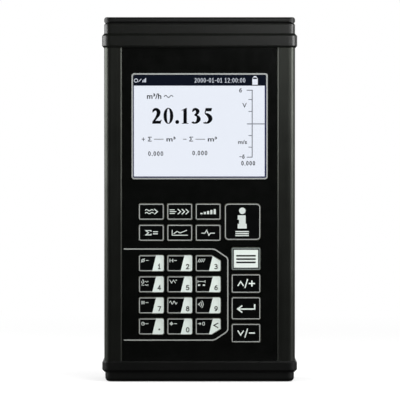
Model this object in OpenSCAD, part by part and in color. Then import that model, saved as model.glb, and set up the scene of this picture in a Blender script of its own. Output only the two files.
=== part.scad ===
// Portable flow meter: a hand-held, battery-driven meter in an extruded case, with a film keypad, a colour
// display and sockets for two clamp-on transducers under a hinged cover at its top end.
// It stands on its bottom end. Z runs up its length, the keypad faces -Y, and the origin is the centre of the base.

/* [Case] */
// Width of the extruded case
case_w = 101; // [92:1:120]
// Depth of the extruded case, front to back
case_d = 38; // [34:0.5:44]
// Length of case that shows between the two collars
case_h = 165.6; // [155:0.2:190]
// Radius of the case's long corners
corner_r = 3.5; // [2.5:0.5:4.5]
// Thickness of the side and back walls
wall_t = 2; // [1.8:0.1:2.4]
// Thickness of the front wall behind the keypad
front_wall_t = 1.8; // [1.5:0.1:2.1]
// Width of each rail beside the keypad
rail_w = 9.5; // [9:0.5:11]
// Depth of the keypad's channel below the rails
channel_depth = 1.6; // [1.5:0.1:2]
// Depth of the shallow channel down the back
back_channel_depth = 0.5; // [0.3:0.1:0.8]

/* [Ends] */
// Height of the collar at the top of the case
top_collar_h = 7; // [6:0.2:8]
// Height of the collar at the bottom of the case
bottom_collar_h = 6; // [5.4:0.2:8]
// How far a collar stands out from the case
collar_proud = 1.1; // [0.9:0.1:1.5]
// Height of the foot below the bottom collar
foot_h = 5; // [4.6:0.2:7]
// Edge radius round the foot's base
foot_edge_r = 2.2; // [1:0.2:2.6]
// How far the foot is set in from the case
foot_inset = 0.5; // [0.2:0.1:0.9]
// Height of the shroud above the top collar
shroud_h = 5.6; // [5:0.2:8]
// Thickness of the socket cover
cover_t = 3.15; // [2.8:0.05:3.8]
// How deep the case reaches into each collar
lap = 2.4; // [1.8:0.2:3]
// Thickness of the end gaskets
gasket_t = 0.8; // [0.6:0.1:1.2]

/* [Display] */
// Margin between the edge of the panel and the clear display window
window_side = 5.9; // [4.6:0.1:9]
// Height of the clear display window
window_h = 54.3; // [46:0.1:60]
// Distance from the top of the panel down to the window
window_drop = 14.4; // [12:0.2:18]

/* [Keypad] */
// Margin between the edge of the panel and the keys
field_side = 8.8; // [7:0.1:11]
// Gap between key columns
key_gap_x = 1.6; // [1.2:0.1:2.6]
// Gap between key rows
key_gap_z = 2.45; // [1.6:0.05:3.4]
// Distance from the window down to the function keys
keys_below_window = 13.6; // [11:0.1:16]
// Distance from the function keys down to the number keys
numbers_below_functions = 7.4; // [6:0.1:9]
// Distance from the number keys down to the bottom collar
numbers_above_collar = 13.9; // [11:0.1:16]
// Gap between the function keys and the information key
info_gap = 2; // [1.4:0.1:3]
// Width of the round-cornered information key
info_w = 19; // [16:0.2:22]
// Width of the menu, enter and step keys
nav_w = 15.4; // [13:0.2:17]
// Gap between the keys of the menu column
nav_gap = 2.1; // [1.5:0.1:3]
// How far a key travels when pressed
key_travel = 0.4; // [0.3:0.05:0.45]
// Width of the raised rim round each key
key_rim_w = 0.8; // [0.6:0.1:1]

/* [Sockets] */
// Bore radius of a transducer socket
socket_bore_r = 4.5; // [4:0.1:4.7]
// Depth of a transducer socket's bore
socket_bore_l = 8; // [7:0.5:9]
// How far the power button travels
power_travel = 1.5; // [1:0.1:2]

/* [Battery] */
// Room between the battery cells and the board
cell_board_gap = 3.7; // [2.8:0.1:5]
// Length of a battery cell
cell_l = 65; // [50:1:75]

/* [Hidden] */
$fn = 48;
cut = 1; // overrun of every cut past the face it opens
clear = 0.15; // slip clearance between moulded pieces
fit = 0.05; // running clearance of pins and buttons

// Levels up the meter
panel_low_z = foot_h + bottom_collar_h;
panel_high_z = panel_low_z + case_h;
collar_high_z = panel_high_z + top_collar_h;
rim_z = collar_high_z + shroud_h;
cover_gap = 0.25;
cover_low_z = rim_z + cover_gap;
case_low_z = panel_low_z - lap;
case_high_z = panel_high_z + lap;
case_l = case_high_z - case_low_z;

// Levels through the meter, from the rails at the front to the back wall
rail_y = -case_d / 2;
channel_y = rail_y + channel_depth;
wall_inner_y = channel_y + front_wall_t;
back_inner_y = case_d / 2 - back_channel_depth - wall_t;
base_t = 0.5; // thickness of the key circuit behind the film
film_t = 0.6; // thickness of the printed film and its spacer
base_face_y = channel_y - base_t;

// Panel between the rails
panel_w = case_w - 2 * rail_w;
channel_chamfer = 0.7;
film_w = panel_w - 4 * clear;
film_tuck = 1; // how far the film runs in under each collar

// Screw channels in the corners of the case
screw_r = 1.2;
screw_l = 12.5;
screw_head_r = 2.35;
screw_head_h = 1.6;
screw_head_play = 0.35;
screw_sunk = 0.4; // how far a bottom screw's head sits above the base
screw_socket_r = 1.1;
boss_r = 3.6;
boss_hole_r = screw_r + fit;
boss_inset = 3.5; // from the wall's inner face to the screw
screw_x = case_w / 2 - wall_t - boss_inset;
screw_y = case_d / 2 - wall_t - boss_inset;
pass_hole_r = screw_r + clear;

// Opening through the end pieces, between the screw channels
foot_floor_t = 2.4;
foot_w = case_w - 2 * foot_inset;
foot_d = case_d - 2 * foot_inset;
end_seat_w = 4; // width of the seat that the case's front and back walls meet
end_opening_w = 2 * (screw_x - boss_r - clear);
end_opening_d = case_d - 2 * end_seat_w;
end_opening_r = 1.5;

// Display
window_r = 0.6;
window_w = panel_w - 2 * window_side;
window_z = panel_high_z - window_drop - window_h / 2;
lens_lip = 3; // flange round the window, under the film
seat_w = 2; // width of the wall's ledge under that flange
lcd_side = 3.3; // how far the display's frame runs past the window at each side
lcd_end = 4.7; // and above and below it
lcd_lip = 1.4;
lcd_w = window_w + 2 * lcd_side;
lcd_h = window_h + 2 * lcd_end;
lcd_t = 3.3;
lcd_glass_w = lcd_w - 2 * lcd_lip;
lcd_glass_h = lcd_h - 2 * lcd_lip;
lcd_glass_t = 1.6;
lcd_light_t = 1.2;
foam_t = 0.8;
lcd_front_y = wall_inner_y + foam_t;
lcd_back_y = lcd_front_y + lcd_t;

// Circuit board, held in slots down both side walls
standoff_h = 2.9;
standoff_r = 2;
board_t = 1.6;
board_front_y = lcd_back_y + standoff_h;
board_back_y = board_front_y + board_t;
rib_t = 1.2;
rib_l = 2.2;
slot_play = 0.1;
board_inset = 2.2; // from each end of the case to the board
board_w = case_w - 2 * wall_t - 4 * clear;
board_low_z = case_low_z + board_inset;
board_high_z = case_high_z - board_inset;

// Ribbon from the key circuit through the front wall
tail_w = 16;
tail_t = 0.3;
tail_slot_w = 18;
tail_slot_h = 1.2;
tail_below_window = 8;
tail_z = window_z - window_h / 2 - tail_below_window;
plug_t = 2;

// Keys
key_gap = 0.15;
key_r = 1;
info_r = 2.1;
key_t = 0.3;
key_rim_t = 0.2;
key_back_y = base_face_y - key_travel - fit;
dome_play = 0.02;
dome_h = key_travel + fit - dome_play;
dome_base_share = 0.39; // of a key's height
dome_top_share = 0.24;
corner_cut_w_share = 0.358; // of a key's width and height
corner_cut_h_share = 0.345;
field_w = panel_w - 2 * field_side;
key_w = (field_w - info_gap - info_w - 2 * key_gap_x) / 3;
key_pitch_x = key_w + key_gap_x;
function_top_z = window_z - window_h / 2 - keys_below_window;
keys_room_h = function_top_z - numbers_below_functions - numbers_above_collar - panel_low_z;
key_h = (keys_room_h - 4 * key_gap_z) / 6; // two function rows and four number rows
key_pitch_z = key_h + key_gap_z;
numbers_top_z = function_top_z - key_pitch_z - key_h - numbers_below_functions;
corner_cut_w = corner_cut_w_share * key_w;
corner_cut_h = corner_cut_h_share * key_h;
info_short = 0.45; // how much lower the information key ends than the rows beside it
info_h = key_pitch_z + key_h - info_short;
nav_above_numbers = 4;
nav_below_numbers = 4.15;
nav_room_h = 3 * key_pitch_z + key_h + nav_above_numbers + nav_below_numbers - 3 * nav_gap;
nav_shares = [6 / 22, 5 / 22, 6 / 22, 5 / 22]; // menu, up, enter and down

function column_x(i) = -field_w / 2 + key_w / 2 + i * key_pitch_x;
function row_z(top_z, i) = top_z - key_h / 2 - i * key_pitch_z;
function nav_x() = field_w / 2 - nav_w / 2;
nav_heights = [for (share = nav_shares) share * nav_room_h];
function nav_top(i) = numbers_top_z + nav_above_numbers - (i == 0 ? 0 : sum_to(i - 1) + i * nav_gap);
function sum_to(i) = nav_heights[i] + (i == 0 ? 0 : sum_to(i - 1));

// Each key: name, place across, place up, width, height, corner radius, and which right-hand corner is cut
function_names = [["flow", "speed", "signal"], ["total", "graph", "test"]];
number_names = [["1", "2", "3"], ["4", "5", "6"], ["7", "8", "9"], ["point", "0", "back"]];
nav_names = ["menu", "up", "enter", "down"];
KEYS = concat(
    [for (row = [0:1]) for (col = [0:2])
        [str("key_", function_names[row][col]), column_x(col), row_z(function_top_z, row), key_w, key_h, key_r, 0]],
    [["key_info", field_w / 2 - info_w / 2, function_top_z - info_h / 2, info_w, info_h, info_r, 0]],
    [for (row = [0:3]) for (col = [0:2])
        [str("key_", number_names[row][col]), column_x(col), row_z(numbers_top_z, row), key_w, key_h, key_r,
            col < 2 ? 0 : row == 0 ? 1 : row == 3 ? -1 : 0]],
    [for (i = [0:3])
        [str("key_", nav_names[i]), nav_x(), nav_top(i) - nav_heights[i] / 2, nav_w, nav_heights[i], key_r, 0]]
);

// Top end: bay, sockets and hinge
shroud_w = case_w - 2 * fit;
shroud_d = case_d - 2 * fit;
shroud_wall = 2.9;
ledge_t = 1.6;
ledge_low_z = case_high_z + gasket_t;
plate_low_z = ledge_low_z + ledge_t;
plate_t = 1.4;
plate_high_z = plate_low_z + plate_t;
bay_w = shroud_w - 2 * shroud_wall;
bay_d = shroud_d - 2 * shroud_wall;
bay_r = 1.5;
shroud_edge = 0.45; // chamfers round the shroud's rim and its base
collar_lip = 0.35; // how far a collar's chamfers end short of the case
top_chamfer_low = 1;
top_chamfer_high = 0.85;
bottom_chamfer_low = 1.35;
bottom_chamfer_high = 0.9;
barrel_r = cover_t / 2;
hinge_y = shroud_d / 2 - barrel_r;
hinge_z = cover_low_z + barrel_r;
hinge_pin_r = 0.75;
knuckle_w = 8;
hinge_side = 12.5; // from the side of the case to the end of the pin
knuckle_x = case_w / 2 - hinge_side - 1.5 * knuckle_w;
knuckle_side = 0.2; // gap between a knuckle and the side of its slot in the cover
knuckle_front = 0.45; // and between its web and the front of that slot
hinge_pin_l = 2 * (knuckle_x + 1.5 * knuckle_w);
cover_edge_r = 1.4;
cover_low_edge_r = 1.1;
cover_hollow = 1.5;
seal_side = 0.3;
seal_w = 1.6;
seal_drop = 1.2;
seal_outer_w = bay_w - 2 * seal_side;
seal_outer_d = bay_d - 2 * seal_side;

// Round transducer sockets
socket_wall = 1.3;
socket_mouth_wall = 1.5;
socket_flange_w = 2.5;
socket_body_r = socket_bore_r + socket_wall;
socket_mouth_r = socket_bore_r + socket_mouth_wall;
socket_flange_r = socket_bore_r + socket_flange_w;
socket_flange_t = 1.2;
socket_mouth_h = 3.8;
socket_body_l = 9.4;
socket_nut_w = 1.8;
socket_nut_r = socket_body_r + socket_nut_w;
socket_nut_t = 2;
socket_top_z = plate_high_z + socket_mouth_h;
socket_step_z = socket_top_z - socket_bore_l;
socket_low_z = plate_high_z - socket_body_l;
insert_step = 0.5;
insert_r = socket_bore_r - insert_step;
contact_r = 0.45;
contact_ring_r = 2.2;
contact_depth = 3;
contact_recess = 0.3; // of the contact sleeves below the insert's face
contact_bore_r = 0.25;
contact_bore_l = 2;

// Charging, data and power
charge_r = 4;
charge_hole_r = 2.9;
charge_pin_r = 1;
charge_depth = 9;
charge_body = [11, 10, 12];
charge_flange_r = 5.5;
charge_flange_t = 1;
charge_mouth_h = 2.2;
data_shell = [8.8, 3.8, 8];
data_mouth_h = 1.4;
data_wall = 0.6;
data_depth = 6;
data_flange = [12, 7, 1];
power_barrel_r = 5;
power_bore_r = 4;
power_flange_r = 6.4;
power_flange_t = 1.2;
power_body = [12, 12, 9];
power_button_h = 6.8;
power_button_edge = 0.5;
power_stand = 2.6; // how far the button stands out of its flange
power_top_z = plate_high_z + power_flange_t + power_stand;

// Places of the sockets: one row behind the board, with even gaps across the opening that they hang in
socket_board_gap = 2;
socket_y = board_back_y + socket_board_gap + power_body[1] / 2;
row_widths = [2 * socket_flange_r, 2 * socket_flange_r, 2 * charge_flange_r, data_flange[0], 2 * power_flange_r];
row_gap = (end_opening_w - row_width(4)) / 6;
function row_width(i) = row_widths[i] + (i == 0 ? 0 : row_width(i - 1));
function row_x(i) = -end_opening_w / 2 + row_width(i) - row_widths[i] / 2 + (i + 1) * row_gap;
transducer_x = [row_x(0), row_x(1)];
charge_x = row_x(2);
data_x = row_x(3);
power_x = row_x(4);

// Battery
tray_t = 1.2;
tray_margin = 1.6;
tray_rib_t = 2;
tray_end_rise = 1.55; // of the tray's end walls above the middle of the cells
tray_rib_drop = 2.45; // of its middle rib below them
tray_above_end = 10; // from the low end of the case
cell_gap = 0.5;
cell_play = 0.3;
cell_nub_r = 2.8;
cell_nub_h = 0.8;
contact_strip_w = 7;
contact_strip_t = cell_play - fit;
cell_r = (back_inner_y - tray_t - cell_play - cell_board_gap - board_back_y) / 2;
tray_end_h = cell_play + cell_r + tray_end_rise;
tray_rib_h = cell_play + cell_r - tray_rib_drop;
cell_x = cell_r + cell_gap / 2;
cell_y = back_inner_y - tray_t - cell_play - cell_r;
tray_end_y = back_inner_y - tray_t - tray_end_h;
tray_low_z = case_low_z + tray_above_end;
cell_low_z = tray_low_z + tray_rib_t + cell_play;
tray_w = 4 * cell_r + cell_gap + 2 * tray_margin;
tray_l = cell_l + 2 * (tray_rib_t + cell_play);

// Parts on the board. Each chip: place across and up as shares of the board, then its width, height and depth
board_h = board_high_z - board_low_z;
can_size = [34, 4.4, 26];
can_wall = 0.4;
can_share = 0.74;
buzzer_r = 6;
buzzer_h = 5;
buzzer_hole_r = 1;
buzzer_x_share = 0.35;
buzzer_z_share = 0.72;
chip_t = 1.5;
chip_small = [9, 9];
chip_large = [20, 20];
chip_shares = [[-0.25, 0.58], [0, 0.58], [0.33, 0.52], [0.31, 0.30], [-0.32, 0.20]];
chip_sizes = [chip_large, chip_small, chip_small, chip_small, chip_small];

// Leads from the sockets and the cells to their plugs on the board
lead_r = 0.8;
lead_bend_r = 2.5; // radius of a lead's bend at its middle
plug_size = [7, plug_t, 4];
plug_share = 0.90; // height of the row of plugs on the board
lead_x = [for (i = [0:4]) row_x(i)];
lead_top_z = [socket_low_z, socket_low_z, plate_low_z - charge_body[2],
    plate_high_z + data_mouth_h - data_shell[2], plate_low_z - power_body[2]];
plug_z = board_low_z + plug_share * board_h;
cell_plug_rise = 6; // of the cells' plugs above the cells
cell_plug_z = cell_low_z + cell_l + cell_plug_rise;

// Rectangle with round corners, centred
module rounded_rect(w, d, r) {
    square([w, d - 2 * r], center = true);
    square([w - 2 * r, d], center = true);
    for (sx = [-1, 1], sy = [-1, 1])
        translate([sx * (w / 2 - r), sy * (d / 2 - r)])
            circle(r);
}

// Upright block with round vertical edges
module block(w, d, h, r) {
    linear_extrude(h)
        rounded_rect(w, d, r);
}

// Turns an outline drawn across and up into a plate that faces the front, from its back plane forwards
module facing(t) {
    rotate([90, 0, 0])
        linear_extrude(t)
            children();
}

// Right half of a section whose outer corners are round at the bottom and the top
module half_section(half, h, bottom_r, top_r) {
    intersection() {
        union() {
            square([half - max(bottom_r, top_r), h]);
            square([half - bottom_r, h / 2]);
            translate([0, h / 2])
                square([half - top_r, h / 2]);
            translate([0, bottom_r])
                square([half, h - bottom_r - top_r]);
            if (bottom_r > 0)
                translate([half - bottom_r, bottom_r])
                    circle(bottom_r);
            if (top_r > 0)
                translate([half - top_r, h - top_r])
                    circle(top_r);
        }
        square([half, h]);
    }
}

// The same section on both sides of the middle
module full_section(half, h, bottom_r, top_r) {
    half_section(half, h, bottom_r, top_r);
    mirror([1, 0])
        half_section(half, h, bottom_r, top_r);
}

// Block with round corners in plan and rounded bottom and top edges that follow them
module soft_block(w, d, h, r, bottom_r, top_r) {
    for (sx = [-1, 1], sy = [-1, 1])
        translate([sx * (w / 2 - r), sy * (d / 2 - r), 0])
            rotate_extrude()
                half_section(r, h, bottom_r, top_r);
    translate([-(w / 2 - r), 0, 0])
        rotate([90, 0, 90])
            linear_extrude(w - 2 * r)
                full_section(d / 2, h, bottom_r, top_r);
    translate([0, d / 2 - r, 0])
        rotate([90, 0, 0])
            linear_extrude(d - 2 * r)
                full_section(w / 2, h, bottom_r, top_r);
}

// Copies its children to the four screw places
module at_screws() {
    for (sx = [-1, 1], sy = [-1, 1])
        translate([sx * screw_x, sy * screw_y, 0])
            children();
}

// Section of the extruded case: channels front and back, thinner walls behind them, board slots, screw channels
module case_section() {
    inner_w = case_w - 2 * wall_t;
    difference() {
        rounded_rect(case_w, case_d, corner_r);
        // Front channel, with a chamfer along each rail
        translate([-panel_w / 2, rail_y - cut])
            square([panel_w, channel_depth + cut]);
        polygon([
            [-panel_w / 2 - channel_chamfer, rail_y],
            [-panel_w / 2, rail_y + channel_chamfer],
            [panel_w / 2, rail_y + channel_chamfer],
            [panel_w / 2 + channel_chamfer, rail_y],
            [panel_w / 2 + channel_chamfer, rail_y - cut],
            [-panel_w / 2 - channel_chamfer, rail_y - cut]
        ]);
        // Back channel
        translate([-panel_w / 2, case_d / 2 - back_channel_depth])
            square([panel_w, back_channel_depth + cut]);
        // Hollow, less the screw channels and the board's slots
        difference() {
            translate([-inner_w / 2, wall_inner_y])
                square([inner_w, back_inner_y - wall_inner_y]);
            for (sx = [-1, 1], sy = [-1, 1])
                scale([sx, sy])
                    translate([screw_x, screw_y]) {
                        circle(boss_r);
                        square(boss_inset + wall_t / 2);
                    }
            for (s = [-1, 1], y = [board_front_y - slot_play - rib_t, board_back_y + slot_play])
                translate([s * (inner_w - rib_l) / 2, y + rib_t / 2])
                    square([rib_l, rib_t], center = true);
        }
        for (sx = [-1, 1], sy = [-1, 1])
            translate([sx * screw_x, sy * screw_y])
                circle(boss_hole_r);
    }
}

module case_extrusion() {
    aperture_w = window_w + 2 * (lens_lip - seat_w);
    aperture_h = window_h + 2 * (lens_lip - seat_w);
    color([0.16, 0.17, 0.16])
        difference() {
            translate([0, 0, case_low_z])
                linear_extrude(case_l)
                    case_section();
            translate([0, wall_inner_y + cut, window_z])
                facing(front_wall_t + 2 * cut)
                    rounded_rect(aperture_w, aperture_h, window_r);
            translate([0, wall_inner_y + cut, tail_z])
                facing(front_wall_t + 2 * cut)
                    square([tail_slot_w, tail_slot_h], center = true);
        }
}

// Socket in a collar that the end of the case and its gasket fill
module case_socket(low_z, high_z) {
    translate([0, 0, low_z])
        block(case_w + 2 * clear, case_d + 2 * clear, high_z - low_z, corner_r + clear);
}

// Solid whose outline is the case's own, stepped in or out as it rises. A profile's points are [step, level]
module around_case(profile) {
    last = len(profile) - 1;
    straight_w = case_w - 2 * corner_r;
    straight_d = case_d - 2 * corner_r;
    for (sx = [-1, 1], sy = [-1, 1])
        translate([sx * straight_w / 2, sy * straight_d / 2, 0])
            rotate_extrude()
                polygon(concat([[0, profile[0][1]]], stepped(profile, corner_r), [[0, profile[last][1]]]));
    translate([-straight_w / 2, 0, 0])
        rotate([90, 0, 90])
            linear_extrude(straight_w)
                both_sides(profile, case_d / 2);
    translate([0, straight_d / 2, 0])
        rotate([90, 0, 0])
            linear_extrude(straight_d)
                both_sides(profile, case_w / 2);
}

// A profile's points at their distance from the middle, and the section that they and their mirror image bound
function stepped(profile, half) = [for (p = profile) [half + p[0], p[1]]];
module both_sides(profile, half) {
    right = stepped(profile, half);
    polygon(concat(right, [for (i = [len(right) - 1:-1:0]) [-right[i][0], right[i][1]]]));
}

module top_end_frame() {
    color([0.17, 0.18, 0.17])
        difference() {
            union() {
                around_case([
                    [collar_lip, panel_high_z],
                    [collar_proud, panel_high_z + top_chamfer_low],
                    [collar_proud, collar_high_z - top_chamfer_high],
                    [collar_lip, collar_high_z],
                    [-fit, collar_high_z + shroud_edge],
                    [-fit, rim_z - shroud_edge],
                    [-fit - shroud_edge, rim_z]
                ]);
                for (s = [-1, 1])
                    translate([s * knuckle_x - knuckle_w / 2, hinge_y, hinge_z])
                        knuckle();
            }
            case_socket(panel_high_z - cut, ledge_low_z);
            translate([0, 0, ledge_low_z - cut])
                block(end_opening_w, end_opening_d, ledge_t + 2 * cut, end_opening_r);
            translate([0, 0, plate_low_z])
                block(bay_w, bay_d, rim_z - plate_low_z + cut, bay_r);
            at_screws()
                translate([0, 0, ledge_low_z - cut])
                    cylinder(r = pass_hole_r, h = ledge_t + 2 * cut);
            translate([-hinge_pin_l / 2 - cut, hinge_y, hinge_z])
                rotate([0, 90, 0])
                    cylinder(r = hinge_pin_r + fit / 2, h = hinge_pin_l + 2 * cut);
        }
}

// One hinge knuckle with the web that stands it on the shroud's back wall
module knuckle() {
    rotate([0, 90, 0])
        cylinder(r = barrel_r, h = knuckle_w);
    translate([0, -barrel_r, rim_z - cut - hinge_z])
        cube([knuckle_w, 2 * barrel_r, hinge_z - rim_z + cut]);
}

module bottom_end_cap() {
    head_seat_z = screw_head_h + screw_sunk;
    pocket_high_z = case_low_z - gasket_t;
    color([0.10, 0.10, 0.10])
        difference() {
            union() {
                around_case([
                    [collar_lip - foot_inset, foot_h],
                    [collar_proud, foot_h + bottom_chamfer_low],
                    [collar_proud, panel_low_z - bottom_chamfer_high],
                    [collar_lip, panel_low_z]
                ]);
                soft_block(foot_w, foot_d, foot_h + bottom_collar_h / 2, corner_r, foot_edge_r, 0);
            }
            case_socket(pocket_high_z, panel_low_z + cut);
            translate([0, 0, foot_floor_t])
                block(end_opening_w, end_opening_d, pocket_high_z - foot_floor_t + cut, end_opening_r);
            at_screws() {
                translate([0, 0, -cut])
                    cylinder(r = screw_head_r + screw_head_play, h = head_seat_z + cut);
                cylinder(r = pass_hole_r, h = pocket_high_z + cut);
            }
        }
}

// Gasket between the end of the case and an end piece
module end_gasket(low_z) {
    translate([0, 0, low_z])
        linear_extrude(gasket_t)
            difference() {
                rounded_rect(case_w - 2 * fit, case_d - 2 * fit, corner_r);
                rounded_rect(end_opening_w, end_opening_d, end_opening_r);
                for (sx = [-1, 1], sy = [-1, 1])
                    translate([sx * screw_x, sy * screw_y])
                        circle(pass_hole_r);
            }
}

module top_gasket() {
    color([0.05, 0.05, 0.05])
        end_gasket(case_high_z);
}

module bottom_gasket() {
    color([0.05, 0.05, 0.05])
        end_gasket(case_low_z - gasket_t);
}

// Pan-head screw with a hexagon socket, head up, its seat at the origin
module screw() {
    difference() {
        cylinder(r = screw_head_r, h = screw_head_h);
        translate([0, 0, screw_head_h / 2])
            cylinder(r = screw_socket_r, h = screw_head_h, $fn = 6);
    }
    translate([0, 0, -screw_l])
        cylinder(r = screw_r, h = screw_l + screw_head_h / 4);
}

module top_screws() {
    color([0.55, 0.55, 0.55])
        at_screws()
            translate([0, 0, plate_high_z])
                screw();
}

module bottom_screws() {
    color([0.55, 0.55, 0.55])
        at_screws()
            translate([0, 0, screw_head_h + screw_sunk])
                rotate([180, 0, 0])
                    screw();
}

module socket_plate() {
    color([0.62, 0.63, 0.63])
        difference() {
            translate([0, 0, plate_low_z])
                block(bay_w - 2 * clear, bay_d - 2 * clear, plate_t, bay_r);
            translate([0, 0, plate_low_z - cut]) {
                at_screws()
                    cylinder(r = pass_hole_r, h = plate_t + 2 * cut);
                for (x = transducer_x)
                    translate([x, socket_y, 0])
                        cylinder(r = socket_body_r + clear, h = plate_t + 2 * cut);
                translate([charge_x, socket_y, 0])
                    cylinder(r = charge_r + clear, h = plate_t + 2 * cut);
                translate([data_x, socket_y, plate_t / 2 + cut])
                    cube([data_shell[0] + 2 * clear, data_shell[1] + 2 * clear, plate_t + 2 * cut], center = true);
                translate([power_x, socket_y, 0])
                    cylinder(r = power_barrel_r + clear, h = plate_t + 2 * cut);
            }
        }
}

// Shell of a round transducer socket, its flange on the plate and its bore stepped for the insert
module socket_shell(x) {
    color([0.70, 0.70, 0.71])
        translate([x, socket_y, 0])
            difference() {
                union() {
                    translate([0, 0, socket_low_z])
                        cylinder(r = socket_body_r, h = socket_body_l + fit);
                    translate([0, 0, plate_high_z])
                        cylinder(r = socket_flange_r, h = socket_flange_t);
                    translate([0, 0, plate_high_z])
                        cylinder(r = socket_mouth_r, h = socket_mouth_h);
                }
                translate([0, 0, socket_step_z])
                    cylinder(r = socket_bore_r, h = socket_bore_l + cut);
                translate([0, 0, socket_low_z - cut])
                    cylinder(r = insert_r, h = socket_step_z - socket_low_z + 2 * cut);
            }
}

module upstream_socket() {
    socket_shell(transducer_x[0]);
}

module downstream_socket() {
    socket_shell(transducer_x[1]);
}

// Its child at the bottom of each of an insert's four contact holes
module at_contacts() {
    for (i = [0:3])
        rotate([0, 0, 90 * i])
            translate([contact_ring_r, 0, socket_step_z - contact_depth])
                children();
}

// Insulating inserts with their contact holes, one in each transducer socket
module socket_inserts() {
    color([0.08, 0.08, 0.08])
        for (x = transducer_x)
            translate([x, socket_y, 0])
                difference() {
                    translate([0, 0, socket_low_z])
                        cylinder(r = insert_r - fit, h = socket_step_z - socket_low_z);
                    at_contacts()
                        cylinder(r = contact_r, h = contact_depth + cut);
                }
}

// Gold-plated sleeves in the contact holes, which take the pins of the plugs
module socket_contacts() {
    sleeve_l = contact_depth - contact_recess;
    color([0.80, 0.66, 0.34])
        for (x = transducer_x)
            translate([x, socket_y, 0])
                at_contacts()
                    difference() {
                        cylinder(r = contact_r - fit, h = sleeve_l);
                        translate([0, 0, sleeve_l - contact_bore_l])
                            cylinder(r = contact_bore_r, h = contact_bore_l + cut);
                    }
}

// Hexagon nuts that clamp the transducer sockets from under the plate
module socket_nuts() {
    color([0.66, 0.66, 0.67])
        for (x = transducer_x)
            translate([x, socket_y, plate_low_z - socket_nut_t])
                difference() {
                    cylinder(r = socket_nut_r, h = socket_nut_t, $fn = 6);
                    translate([0, 0, -cut])
                        cylinder(r = socket_body_r + fit, h = socket_nut_t + 2 * cut);
                }
}

module charge_socket() {
    top_z = plate_high_z + charge_mouth_h;
    color([0.07, 0.07, 0.07])
        translate([charge_x, socket_y, 0]) {
            difference() {
                union() {
                    translate([0, 0, plate_low_z - charge_body[2] / 2])
                        cube(charge_body, center = true);
                    translate([0, 0, plate_low_z - fit])
                        cylinder(r = charge_r, h = top_z - plate_low_z + fit);
                    translate([0, 0, plate_high_z])
                        cylinder(r = charge_flange_r, h = charge_flange_t);
                }
                translate([0, 0, top_z - charge_depth])
                    cylinder(r = charge_hole_r, h = charge_depth + cut);
            }
            translate([0, 0, top_z - charge_depth - fit])
                cylinder(r = charge_pin_r, h = charge_depth - charge_flange_t);
        }
}

module data_socket() {
    top_z = plate_high_z + data_mouth_h;
    color([0.62, 0.62, 0.63])
        translate([data_x, socket_y, 0])
            difference() {
                union() {
                    translate([0, 0, top_z - data_shell[2] / 2])
                        cube(data_shell, center = true);
                    translate([0, 0, plate_high_z + data_flange[2] / 2])
                        cube(data_flange, center = true);
                }
                translate([0, 0, top_z])
                    cube([data_shell[0] - 2 * data_wall, data_shell[1] - 2 * data_wall, 2 * data_depth],
                        center = true);
            }
}

module power_switch() {
    bore_low_z = power_top_z - power_button_h - power_travel - fit;
    color([0.07, 0.07, 0.07])
        translate([power_x, socket_y, 0])
            difference() {
                union() {
                    translate([0, 0, plate_low_z - power_body[2] / 2])
                        cube(power_body, center = true);
                    translate([0, 0, plate_low_z - fit])
                        cylinder(r = power_barrel_r, h = plate_t + power_flange_t);
                    translate([0, 0, plate_high_z])
                        cylinder(r = power_flange_r, h = power_flange_t);
                }
                translate([0, 0, bore_low_z])
                    cylinder(r = power_bore_r, h = power_top_z - bore_low_z);
            }
}

module power_button() {
    color([0.60, 0.10, 0.08])
        translate([power_x, socket_y, power_top_z - power_button_h])
            rotate_extrude()
                half_section(power_bore_r - fit, power_button_h, 0, power_button_edge);
}

// Cover over the bay: a hollow lid whose back edge is rolled round the hinge, with slots for the knuckles
module socket_cover() {
    slot_w = knuckle_w + 2 * knuckle_side;
    slot_d = 2 * barrel_r + knuckle_front;
    color([0.13, 0.13, 0.12])
        difference() {
            intersection() {
                translate([0, 0, cover_low_z])
                    block(shroud_w, shroud_d, cover_t, corner_r);
                translate([-shroud_w / 2, 0, cover_low_z])
                    rotate([90, 0, 90])
                        linear_extrude(shroud_w)
                            cover_side_section();
                translate([0, shroud_d / 2, cover_low_z])
                    rotate([90, 0, 0])
                        linear_extrude(shroud_d)
                            full_section(shroud_w / 2, cover_t, cover_low_edge_r, cover_edge_r);
            }
            translate([0, 0, cover_low_z - cut])
                block(seal_outer_w, seal_outer_d, cover_hollow + cut, bay_r - seal_side);
            for (s = [-1, 1])
                translate([s * knuckle_x - slot_w / 2, shroud_d / 2 - slot_d, cover_low_z - cut])
                    cube([slot_w, slot_d + cut, cover_t + 2 * cut]);
            translate([-hinge_pin_l / 2 - fit, hinge_y, hinge_z])
                rotate([0, 90, 0])
                    cylinder(r = hinge_pin_r + fit, h = shroud_w);
        }
}

// Side view of the cover: fully round at the hinge, with softened front edges
module cover_side_section() {
    front = -shroud_d / 2;
    translate([hinge_y, barrel_r])
        circle(barrel_r);
    intersection() {
        full_section(shroud_d / 2, cover_t, cover_low_edge_r, cover_edge_r);
        translate([front, 0])
            square([hinge_y - front, cover_t]);
    }
}

module cover_seal() {
    color([0.03, 0.03, 0.03])
        translate([0, 0, rim_z - seal_drop])
            difference() {
                block(seal_outer_w - 2 * fit, seal_outer_d - 2 * fit, seal_drop + cover_gap + cover_hollow - fit,
                    bay_r - seal_side);
                translate([0, 0, -cut])
                    block(seal_outer_w - 2 * seal_w, seal_outer_d - 2 * seal_w,
                        seal_drop + cover_gap + cover_hollow + 2 * cut, bay_r / 2);
            }
}

module hinge_pin() {
    color([0.72, 0.72, 0.73])
        translate([-hinge_pin_l / 2, hinge_y, hinge_z])
            rotate([0, 90, 0])
                cylinder(r = hinge_pin_r, h = hinge_pin_l);
}

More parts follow.
